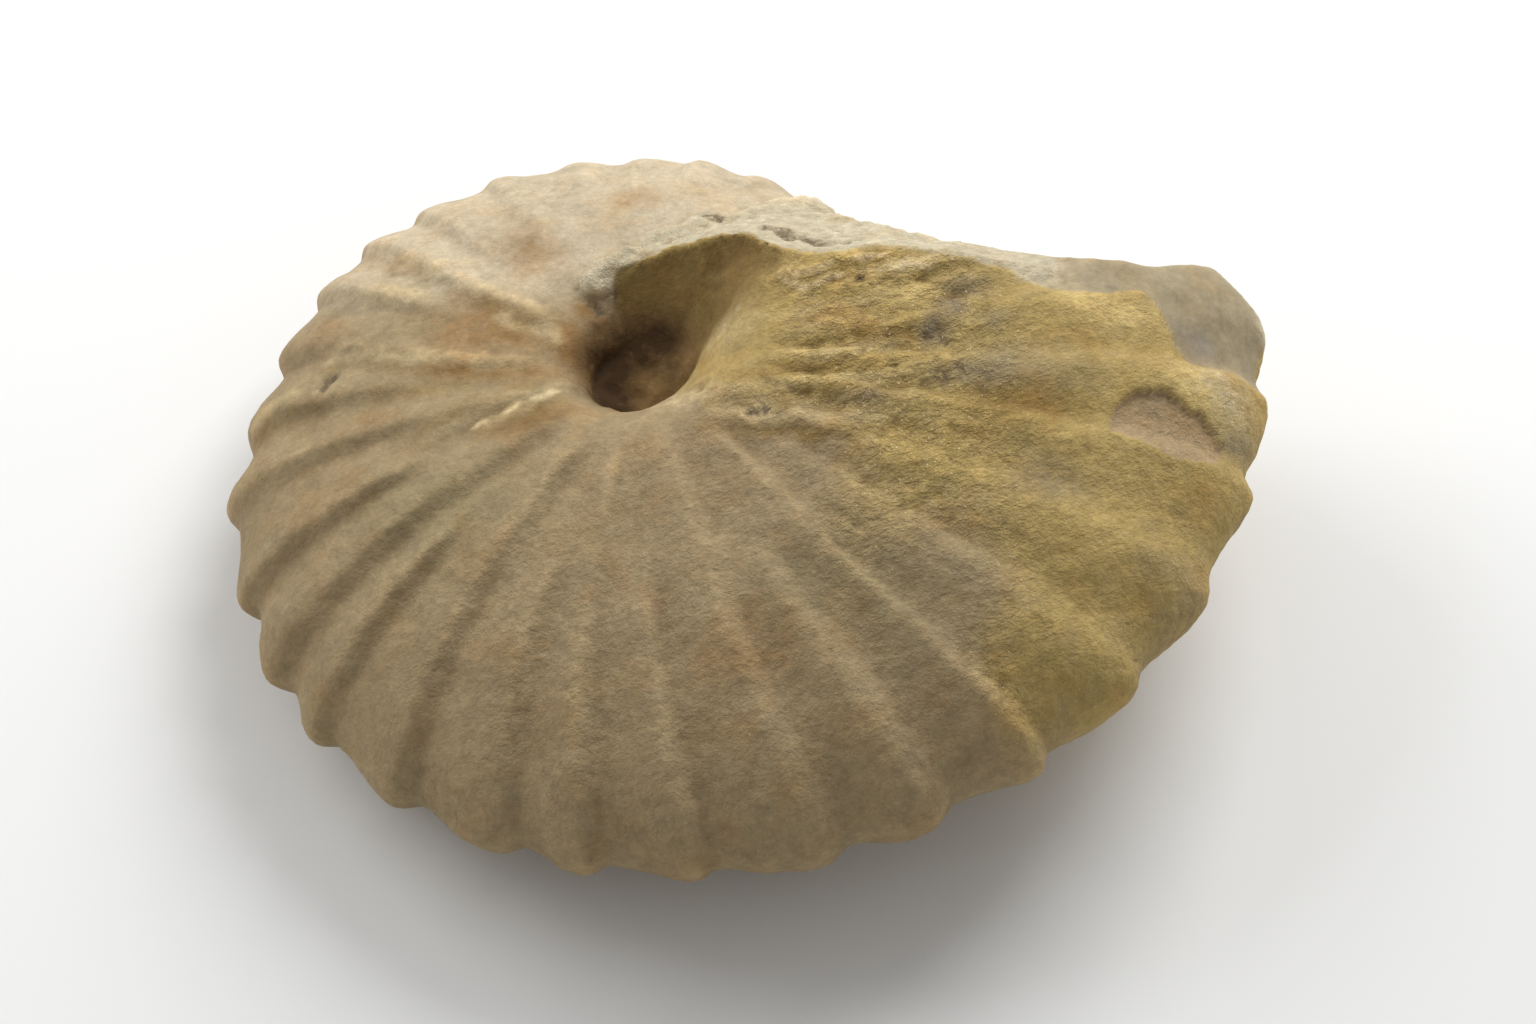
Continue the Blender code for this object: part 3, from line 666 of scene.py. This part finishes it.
def ridge_relief(at):
    """Heights of the ridges, with masks of painted highlight on their crests and painted shade below their
    fronts.
    """
    lift, painted_crest_light, front_shade = np.zeros((3, len(at.x)))
    uneven = grain(at.points, 1.8, 51.0)
    for line, back, front, height, crest_light, darkening in RIDGES:
        away, side, place = line_distance(at.x + at.wobble, at.y + 1.2 * at.wobble + 0.25 * uneven, line)
        kept = smoothstep(0.0, 0.12, place) * smoothstep(1.0, 0.75, place) * (1.0 - 0.6 * at.bend) * at.top
        width = np.where(side > 0.0, back, front)
        lift += height * np.exp(-((away / width) ** 2)) * kept * (0.8 + 0.4 * uneven)
        # Painted highlight along each ridge's crest.
        painted_crest_light = np.maximum(painted_crest_light, crest_light * np.exp(-((away / 0.35) ** 2)) * kept)
        # Painted shade in a band below each ridge's front.
        below = np.exp(-(((away - 0.9) / 0.7) ** 2)) * (side < 0.0) * kept
        front_shade = np.maximum(front_shade, darkening * below * (0.8 + 0.5 * uneven))
    return lift, painted_crest_light, front_shade


def layer_relief(at):
    """Heights of the thin layers that have partly flaked off, with a mask of the painted highlight along
    their broken edges.
    """
    lift, edges = np.zeros((2, len(at.x)))
    unbroken = smoothstep(-0.7, 0.2, grain(at.points, 1.2, 41.0))
    for line, height in FLAKED_LAYERS:
        away, side, place = line_distance(at.x + 0.7 * at.wobble, at.y + 0.7 * at.wobble, line)
        kept = smoothstep(0.0, 0.15, place) * smoothstep(1.0, 0.85, place) * at.top
        inward = away * side
        # Painted highlight along each layer's broken edge.
        edges = np.maximum(edges, 0.85 * np.exp(-(((inward - 0.06) / 0.22) ** 2)) * kept * unbroken)
        layer = smoothstep(-0.26, 0.20, inward) * np.exp(-np.maximum(inward, 0.0) / 1.6) * (away < 5.0)
        lift += height * layer * kept
    return lift, edges


def groove_relief(at):
    """Heights of the grooves, chips and small pits, with a mask of painted shade in the narrow ones and in
    the pits.
    """
    lift, groove_and_pit_shade = np.zeros((2, len(at.x)))
    for line, width, depth in GROOVES:
        away, _, place = line_distance(at.x + at.wobble, at.y + at.wobble, line)
        cut = np.exp(-((away / width) ** 2)) * at.top
        cut *= smoothstep(-0.05, 0.15, place) * smoothstep(1.05, 0.85, place)
        lift -= depth * cut
        # Painted shade on the floors of the narrow grooves.
        groove_and_pit_shade = np.maximum(groove_and_pit_shade, cut * (width < NARROW_GROOVE))
    pitted = smoothstep(0.50, 0.80, grain(at.points, 0.95, 31.0))
    pitted *= smoothstep(0.0, 0.5, grain(at.points, 4.0, 32.0))
    pitted *= np.clip(0.4 * at.funnel + 0.6 * at.gritty, 0.0, 1.0) * at.top
    # The pits get painted shade as well.
    return lift - PIT_DEPTH * pitted, np.maximum(groove_and_pit_shade, 0.6 * pitted)


def broken_relief(at):
    """Heights of the lump, the crumbled patch, the mould, the flake pit and the funnel."""
    lift = at.lump * (0.20 * ridged(at.points, 1.3, 21.0) + 0.14 * grain(at.points, 0.6, 24.0))
    crumbled = within(CRUMBLED, at.x + 2.0 * at.wobble, at.y + 2.0 * at.wobble, 0.8) * at.matrix * at.top
    lift += crumbled * (0.20 * ridged(at.points, 0.9, 22.0) + 0.20 * grain(at.points, 0.5, 23.0) - 0.10)
    lift += 0.10 * at.mould * grain(at.points, 2.2, 12.0)
    lift -= at.flake * (FLAKE_DEPTH - FLAKE_SLOPE * np.clip(FLAKE_TOP - at.y, 0.0, 5.0))
    hollow = smoothstep(4.4, 3.0, at.radius) * smoothstep(6.4, 4.6, np.abs(at.z))
    lift += hollow * (0.22 * grain(at.points, 1.6, 14.0) + 0.08 * grain(at.points, 0.6, 15.0))
    lift += 0.05 * at.funnel * drawn_out(np.radians(at.azimuth) * 9.0, at.radius, 1.6, 3.0)
    # The mask returned is the crumbled matrix's grey, deepened with painted shade on its faces.
    return lift, 0.8 * crumbled * smoothstep(15.0, 8.0, at.x)


def worked(mesh, at):
    """Works the small forms into the mesh and returns the masks for its colours."""
    ridge_lift, painted_crest_light, front_shade = ridge_relief(at)
    layer_lift, edges = layer_relief(at)
    groove_lift, groove_and_pit_shade = groove_relief(at)
    broken_lift, crumbled = broken_relief(at)
    lift = matrix_relief(mesh, at, sand_relief(at)) + ridge_lift + layer_lift + groove_lift + broken_lift
    raised = at.points + at.normals * lift[:, None]
    for _ in range(SPIKE_PASSES):
        raised = without_spikes(mesh, raised, RELIEF_SPIKE)
    write(mesh, raised)
    gritty = at.gritty * (1.0 - at.matrix) * (1.0 - at.mould) * smoothstep(4.6, 6.4, at.radius)
    return {"golden": at.golden, "chalky": at.matrix, "mould": at.mould * (1.0 - at.matrix),
            "flake": at.flake, "funnel": at.funnel, "brink": 0.8 * at.brink, "gritty": gritty,
            "crest_highlight": painted_crest_light, "front_shade": front_shade, "groove_and_pit_shade": groove_and_pit_shade, "edge": edges, "crumbled": crumbled}


def cavities(mesh):
    """How far each point lies below its smoothed surroundings, in millimetres."""
    body = bmesh.new()
    body.from_mesh(mesh)
    before = np.array([v.co for v in body.verts])
    for _ in range(CAVITY_PASSES):
        bmesh.ops.smooth_vert(body, verts=body.verts, factor=0.5,
                              use_axis_x=True, use_axis_y=True, use_axis_z=True)
    after = np.array([v.co for v in body.verts])
    body.free()
    return ((after - before) * read_normals(mesh)).sum(axis=1)


def keep_mask(mesh, name, values):
    """Keeps a mask on the mesh for its material to read."""
    layer = mesh.attributes.new(name, "FLOAT", "POINT")
    layer.data.foreach_set("value", np.ascontiguousarray(values, dtype=np.float32))


def stains_and_shade(points, turn):
    """The masks of the stains and of the painted shade that lie over the fossil, as soft patches where they
    sit on it.
    """
    x, y, z = points.T
    top = smoothstep(-1.0, 1.0, z)
    above = smoothstep(0.0, 1.0, z)
    azimuth = np.degrees(np.arctan2(y, x)) % 360.0
    masks = {}
    for name, ovals in STAINS_AND_SHADE.items():
        masks[name] = top * np.maximum.reduce([strength * spot(x, y, *oval) for strength, *oval in ovals])
    bleached = smoothstep(BLEACHED_FROM, BLEACHED_TO, azimuth) * smoothstep(-1.0, 3.5, z)
    masks["bleached"] = bleached * smoothstep(3.0, 10.0, y) * (turn < LAST_TURN)
    around = np.hypot((x - HOLE_MIDDLE[0]) / HOLE_SIZE[0], (y - HOLE_MIDDLE[1]) / HOLE_SIZE[1])
    masks["stain"] = smoothstep(1.15, 0.85, around) * smoothstep(8.6, 6.6, np.abs(z)) * above
    away, _, _ = line_distance(x, y, HOLE_SHADE)
    # Dark brown stain and painted shade down the hole's left and far side.
    dark_stain_and_shade = np.maximum(np.exp(-((away / SHADE_WIDTH) ** 2)), 0.9 * spot(x, y, (-1.9, 0.7), (0.7, 0.6)))
    masks["dark_stain_and_shade"] = np.maximum.reduce([
        dark_stain_and_shade * smoothstep(8.2, 6.0, z) * above,
        # Painted shade below the chalk lump and below the ridge that runs left from the hole.
        0.35 * spot(x, y, (-2.2, 6.4), (1.2, 0.9), 35.0) * above,
        0.36 * spot(x, y, (-7.2, -3.3), (3.6, 1.5), 20.0) * top])
    return masks


class Tree:
    """Short words for placing nodes."""

    def __init__(self, tree):
        self.tree = tree

    def add(self, kind, inputs=None, **settings):
        """Places a node, links the sockets it is given and sets the plain values."""
        node = self.tree.nodes.new(kind)
        for name, value in settings.items():
            setattr(node, name, value)
        for socket, value in (inputs or {}).items():
            if isinstance(value, bpy.types.NodeSocket):
                self.tree.links.new(value, node.inputs[socket])
            else:
                node.inputs[socket].default_value = value
        return node

    def maths(self, kind, first, second=0.0, third=0.0):
        """A sum, product or other step on up to three values."""
        return self.add("ShaderNodeMath", {0: first, 1: second, 2: third}, operation=kind).outputs[0]

    def mix(self, share, first, second, blend="MIX"):
        """Blends a second colour into the first."""
        node = self.add("ShaderNodeMix", data_type="RGBA", blend_type=blend, clamp_factor=True)
        for socket, value in (("Factor_Float", share), ("A_Color", first), ("B_Color", second)):
            target = next(i for i in node.inputs if i.identifier == socket)
            if isinstance(value, bpy.types.NodeSocket):
                self.tree.links.new(value, target)
            else:
                target.default_value = value
        return next(o for o in node.outputs if o.identifier == "Result_Color")

    def noise(self, place, scale, detail=4.0, roughness=0.6, distortion=0.0):
        """Smooth noise from 0 to 1."""
        inputs = {"Vector": place, "Scale": scale, "Detail": detail, "Roughness": roughness,
                  "Distortion": distortion}
        return self.add("ShaderNodeTexNoise", inputs).outputs["Fac"]

    def spread(self, value, low, high, out_low=0.0, out_high=1.0):
        """Stretches the range from low to high over another range, and stops at its ends."""
        return self.add("ShaderNodeMapRange", {"Value": value, "From Min": low, "From Max": high,
                                               "To Min": out_low, "To Max": out_high}).outputs["Result"]


def new_group(name, inputs, outputs):
    """Starts a node group with named inputs and outputs."""
    group = bpy.data.node_groups.new(name, "ShaderNodeTree")
    for word, kind, value in inputs:
        socket = group.interface.new_socket(word, in_out="INPUT", socket_type="NodeSocket" + kind)
        if value is not None:
            socket.default_value = value
    for word, kind in outputs:
        group.interface.new_socket(word, in_out="OUTPUT", socket_type="NodeSocket" + kind)
    tree = Tree(group)
    return group, tree, tree.add("NodeGroupInput").outputs, tree.add("NodeGroupOutput")


def make_ragged_patch():
    """Lays a tint over a colour where a mask says so, with an uneven, blotchy border."""
    group, tree, given, result = new_group(
        "ragged_patch",
        [("Colour", "Color", (0.5, 0.5, 0.5, 1.0)), ("Tint", "Color", (0.5, 0.5, 0.5, 1.0)),
         ("Mask", "Float", 0.0), ("Place", "Vector", None), ("Blotch Scale", "Float", 600.0),
         ("Raggedness", "Float", 0.5)],
        [("Colour", "Color")])
    blotch = tree.noise(given["Place"], given["Blotch Scale"], 5.0, 0.65)
    uneven = tree.maths("MULTIPLY", tree.maths("SUBTRACT", blotch, 0.5), given["Raggedness"])
    strength = tree.maths("MULTIPLY", tree.maths("MULTIPLY", given["Mask"], 4.0), uneven)
    share = tree.maths("ADD", given["Mask"], strength)
    share = tree.spread(share, 0.08, 0.92)
    tree.tree.links.new(tree.mix(share, given["Colour"], given["Tint"]), result.inputs["Colour"])
    return group


def make_mottling():
    """Makes a colour uneven: darker and lighter flecks of one size."""
    group, tree, given, result = new_group(
        "mottling",
        [("Colour", "Color", (0.5, 0.5, 0.5, 1.0)), ("Place", "Vector", None), ("Scale", "Float", 1000.0),
         ("Darker", "Float", 0.2), ("Lighter", "Float", 0.2)],
        [("Colour", "Color")])
    fleck = tree.noise(given["Place"], given["Scale"], 4.0, 0.7)
    dark = tree.maths("MULTIPLY", tree.spread(fleck, 0.50, 0.28), given["Darker"])
    light = tree.maths("MULTIPLY", tree.spread(fleck, 0.52, 0.74), given["Lighter"])
    flecked = tree.mix(dark, given["Colour"], (0.42, 0.38, 0.30, 1.0), "MULTIPLY")
    flecked = tree.mix(light, flecked, (1.75, 1.75, 1.80, 1.0), "MULTIPLY")
    tree.tree.links.new(flecked, result.inputs["Colour"])
    return group


def make_grit():
    """The height of fine sand in the surface."""
    group, tree, given, result = new_group(
        "grit",
        [("Place", "Vector", None), ("Scale", "Float", 3000.0), ("Coarse", "Float", 1.0),
         ("Fine", "Float", 1.0)],
        [("Height", "Float")])
    coarse = tree.noise(given["Place"], given["Scale"], 3.0, 0.6)
    fine = tree.noise(given["Place"], tree.maths("MULTIPLY", given["Scale"], 3.1), 2.0, 0.7)
    height = tree.maths("ADD", tree.maths("MULTIPLY", coarse, given["Coarse"]),
                        tree.maths("MULTIPLY", fine, given["Fine"]))
    tree.tree.links.new(height, result.inputs["Height"])
    return group


def colour(red, green, blue):
    """A linear colour from the 0 to 255 values that a screen shows."""
    return tuple(((v / 255 + 0.055) / 1.055) ** 2.4 for v in (red, green, blue)) + (1.0,)


TAN = colour(155, 135, 101)
BLEACHED = colour(191, 175, 147)
OLIVE = colour(146, 130, 96)
RUST = colour(148, 114, 71)
GOLDEN = colour(171, 147, 90)
OCHRE = colour(207, 181, 119)
GREY = colour(136, 122, 96)
CHALK = colour(188, 177, 150)
MOULD_TAN = colour(158, 144, 115)
SLATE = colour(146, 137, 121)
BROWN_AND_SHADE = colour(140, 114, 60)
FLAKE_BROWN = colour(166, 143, 108)
UMBER_AND_SHADE = colour(70, 48, 19)
FLOOR_BROWN = colour(138, 109, 66)
RIM_BROWN = colour(138, 106, 62)
WALL_BROWN = colour(133, 108, 60)
EDGE_HIGHLIGHT = colour(216, 194, 150)
# Pale dust, and the painted highlight along the ridge crests.
DUST_AND_HIGHLIGHT = colour(198, 178, 136)
# Dark grey laid as painted shade in grooves and pits, and over the crumbled matrix.
CREVICE_SHADE = colour(118, 104, 80)
COATS = [  # tint, mask, scale of its blotches and raggedness of its border; later coats lie on top
    (BLEACHED, "bleached", 350.0, 0.45), (GOLDEN, "golden", 450.0, 0.5), (OLIVE, "olive", 300.0, 0.6),
    # Brown stain, some of its ovals painted shade below ribs; then painted shade below each ridge's front.
    (RUST, "rust", 500.0, 0.6), (BROWN_AND_SHADE, "brown_and_shade", 500.0, 0.5), (BROWN_AND_SHADE, "front_shade", 900.0, 0.6),
    (OCHRE, "ochre", 700.0, 0.8), (GREY, "grey", 900.0, 0.5), (DUST_AND_HIGHLIGHT, "dusty", 1600.0, 1.0),
    (MOULD_TAN, "mould", 500.0, 0.2), (SLATE, "slate", 500.0, 0.6), (FLAKE_BROWN, "flake", 700.0, 0.2),
    # The crumbled coat: the matrix's grey deepened with painted shade.
    (CHALK, "chalky", 1200.0, 0.5), (CREVICE_SHADE, "crumbled", 1500.0, 1.0), (WALL_BROWN, "funnel", 800.0, 0.4),
    (GOLDEN, "brink", 1500.0, 0.5), (RIM_BROWN, "rim", 600.0, 0.6), (FLOOR_BROWN, "stain", 500.0, 0.4),
    # On this row: dark stain and painted shade in and around the hole, painted highlight along the ridge
    # crests, and painted highlight along the broken layer edges.
    (UMBER_AND_SHADE, "dark_stain_and_shade", 500.0, 0.6), (DUST_AND_HIGHLIGHT, "crest_highlight", 900.0, 0.35), (EDGE_HIGHLIGHT, "edge", 2500.0, 0.6),
    # Painted shade in the narrow grooves and the pits.
    (CREVICE_SHADE, "groove_and_pit_shade", 2500.0, 1.4),
]
FLECKS = [(260.0, 0.22, 0.16), (1100.0, 0.28, 0.20), (3000.0, 0.22, 0.18), (8200.0, 0.12, 0.10)]
WARM, COOL = (1.02, 0.84, 0.62, 1.0), (0.80, 0.86, 0.90, 1.0)
HOLLOW_DARKER, RAISED_LIGHTER = (0.42, 0.34, 0.21, 1.0), (1.45, 1.42, 1.38, 1.0)
STREAK_LIGHT, GLINT = (1.22, 1.18, 1.08, 1.0), (0.72, 0.62, 0.40, 1.0)
STREAK_TURN = math.radians(22.0)
STREAK_SIZE = (0.0008, 0.00034, 0.0004)
BUMP_DEPTH = 0.00034
SAND_SCALE, GRAIN_SCALE, BLUR_SCALE = 1900.0, 6500.0, 9000.0
ROUGHNESS, GLINT_ROUGHNESS, SHEEN = 0.84, 0.40, 0.35


def make_stone():
    """Weathered sandstone: coats of tint over tan, some of them painted shade and painted highlight, flecks,
    darkening in the dips and lightening on raised points, and sand that catches light.
    """
    material = bpy.data.materials.new("weathered_stone")
    material.use_nodes = True
    tree = Tree(material.node_tree)
    shader = material.node_tree.nodes["Principled BSDF"]
    place = tree.add("ShaderNodeTexCoord").outputs["Object"]

    def mask(name):
        """Reads a mask that the mesh keeps."""
        return tree.add("ShaderNodeAttribute", attribute_name=name).outputs["Fac"]

    patch, mottling, grit = make_ragged_patch(), make_mottling(), make_grit()
    skin = TAN
    for tint, name, scale, raggedness in COATS:
        inputs = {"Colour": skin, "Tint": tint, "Mask": mask(name), "Place": place, "Blotch Scale": scale,
                  "Raggedness": raggedness}
        skin = tree.add("ShaderNodeGroup", inputs, node_tree=patch).outputs["Colour"]
    warm = tree.maths("MULTIPLY", tree.spread(tree.noise(place, 330.0, 5.0, 0.6), 0.50, 0.72), 0.5)
    skin = tree.mix(warm, skin, WARM, "MULTIPLY")
    cool = tree.maths("MULTIPLY", tree.spread(tree.noise(place, 410.0, 5.0, 0.65), 0.48, 0.30), 0.5)
    skin = tree.mix(cool, skin, COOL, "MULTIPLY")
    for scale, darker, lighter in FLECKS:
        inputs = {"Colour": skin, "Place": place, "Scale": scale, "Darker": darker, "Lighter": lighter}
        skin = tree.add("ShaderNodeGroup", inputs, node_tree=mottling).outputs["Colour"]
    # The surface is darker in its hollows and lighter on its raised points.
    darkening = tree.maths("MULTIPLY", tree.spread(mask("cavity"), 0.01, 0.12), 0.55)
    skin = tree.mix(darkening, skin, HOLLOW_DARKER, "MULTIPLY")
    worn = tree.maths("MULTIPLY", tree.spread(mask("cavity"), -0.012, -0.09), 0.6)
    skin = tree.mix(worn, skin, RAISED_LIGHTER, "MULTIPLY")

    strength = tree.maths("MULTIPLY_ADD", mask("gritty"), 0.75, 0.25)
    strength = tree.maths("ADD", strength, tree.maths("MULTIPLY", mask("chalky"), 0.5))
    sand = tree.add("ShaderNodeGroup", {"Place": place, "Scale": SAND_SCALE, "Fine": 0.35}, node_tree=grit)
    height = tree.maths("MULTIPLY", sand.outputs["Height"], strength)
    swept = tree.add("ShaderNodeMapping", {"Vector": place, "Rotation": (0.0, 0.0, STREAK_TURN),
                                           "Scale": STREAK_SIZE}, vector_type="TEXTURE").outputs["Vector"]
    streak = tree.spread(tree.noise(swept, 1.0, 4.0, 0.6, 0.8), 0.48, 0.64)
    streak = tree.maths("MULTIPLY", streak, mask("gritty"))
    height = tree.maths("MULTIPLY_ADD", streak, 0.20, height)
    height = tree.maths("MULTIPLY", height, tree.maths("MULTIPLY_ADD", mask("mould"), -0.75, 1.0))
    bump = tree.add("ShaderNodeBump", {"Height": height, "Strength": 1.0, "Distance": BUMP_DEPTH})
    tree.tree.links.new(bump.outputs["Normal"], shader.inputs["Normal"])

    grains = tree.add("ShaderNodeTexVoronoi", {"Vector": place, "Scale": GRAIN_SCALE, "Randomness": 1.0},
                      feature="F1")
    chance = tree.add("ShaderNodeSeparateColor", {"Color": grains.outputs["Color"]}).outputs["Red"]
    blurred = tree.maths("MULTIPLY", tree.noise(place, BLUR_SCALE, 2.0, 0.6), 0.5)
    blurred = tree.maths("ADD", grains.outputs["Distance"], blurred)
    glint = tree.maths("MULTIPLY", tree.spread(blurred, 0.62, 0.42), tree.spread(chance, 0.80, 0.90))
    glint = tree.maths("MULTIPLY", tree.maths("MULTIPLY", glint, mask("gritty")), 0.75)
    skin = tree.mix(tree.maths("MULTIPLY", streak, 0.6), skin, STREAK_LIGHT, "MULTIPLY")
    skin = tree.mix(glint, skin, GLINT)
    tree.tree.links.new(skin, shader.inputs["Base Color"])
    rough = tree.spread(glint, 0.0, 1.0, ROUGHNESS, GLINT_ROUGHNESS)
    tree.tree.links.new(rough, shader.inputs["Roughness"])
    shader.inputs["Specular IOR Level"].default_value = SHEEN
    return material


def make_stage():
    """A pale plain floor."""
    body = bmesh.new()
    bmesh.ops.create_grid(body, x_segments=1, y_segments=1, size=FLOOR_HALF_WIDTH)
    sheet = bpy.data.meshes.new("floor")
    body.to_mesh(sheet)
    body.free()
    floor = bpy.data.objects.new("floor", sheet)
    bpy.context.scene.collection.objects.link(floor)
    pale = bpy.data.materials.new("pale_floor")
    pale.use_nodes = True
    pale.node_tree.nodes["Principled BSDF"].inputs["Base Color"].default_value = FLOOR_SHADE
    pale.node_tree.nodes["Principled BSDF"].inputs["Roughness"].default_value = FLOOR_ROUGHNESS
    sheet.materials.append(pale)


def make_light(name, place, width, power):
    """A square light that points at the fossil."""
    lamp = bpy.data.lights.new(name, "AREA")
    lamp.size = width
    lamp.energy = power
    holder = bpy.data.objects.new(name, lamp)
    bpy.context.scene.collection.objects.link(holder)
    holder.location = place
    holder.rotation_euler = (LIGHT_AIM - Vector(place)).to_track_quat("-Z", "Y").to_euler()


def make_camera():
    """A camera in front of the fossil that looks down on it and holds the coil's axis at its pixel."""
    rise = math.radians(CAMERA_RISE)
    back = Vector((0.0, -math.cos(rise), math.sin(rise)))
    up = Vector((0.0, math.sin(rise), math.cos(rise)))
    aim = COIL_CENTRE.copy()
    aim -= Vector((1.0, 0.0, 0.0)) * ((AXIS_PIXEL[0] - VIEW_PIXELS[0] / 2.0) / PIXELS_PER_METRE)
    aim += up * ((AXIS_PIXEL[1] - VIEW_PIXELS[1] / 2.0) / PIXELS_PER_METRE)
    lens = bpy.data.cameras.new("camera")
    lens.sensor_width = SENSOR_WIDTH
    lens.lens = SENSOR_WIDTH * CAMERA_DISTANCE * PIXELS_PER_METRE / VIEW_PIXELS[0]
    lens.clip_start = NEAREST_SEEN
    camera = bpy.data.objects.new("camera", lens)
    bpy.context.scene.collection.objects.link(camera)
    camera.location = aim + back * CAMERA_DISTANCE
    camera.rotation_euler = (math.radians(90.0 - CAMERA_RISE), 0.0, 0.0)
    bpy.context.scene.camera = camera


mesh = make_form()
at = survey(mesh)
masks = worked(mesh, at)
masks.update(stains_and_shade(read(mesh), at.turn))
masks["cavity"] = cavities(mesh) * (1.0 - 0.8 * at.clean)
for name in SOFT_MASKS:
    masks[name] = softened(mesh, masks[name], MASK_PASSES)
for name, values in masks.items():
    keep_mask(mesh, name, values)
mesh.transform(Matrix.Translation(COIL_CENTRE) @ Matrix.Rotation(math.radians(-ROLL), 4, "Y")
               @ Matrix.Scale(MM, 4))
write(mesh, np.clip(read(mesh), *solid_box))
mesh.polygons.foreach_set("use_smooth", [True] * len(mesh.polygons))
mesh.materials.append(make_stone())
fossil = bpy.data.objects.new("fossil", mesh)
bpy.context.scene.collection.objects.link(fossil)
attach(fossil, "root")
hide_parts("ammonite")

make_stage()
make_camera()
for light in LIGHTS:
    make_light(*light)
world = bpy.data.worlds.new("studio")
world.use_nodes = True
world.node_tree.nodes["Background"].inputs["Color"].default_value = (1.0, 1.0, 1.0, 1.0)
world.node_tree.nodes["Background"].inputs["Strength"].default_value = STUDIO_GLOW
bpy.context.scene.world = world
bpy.context.scene.view_settings.view_transform = "Standard"
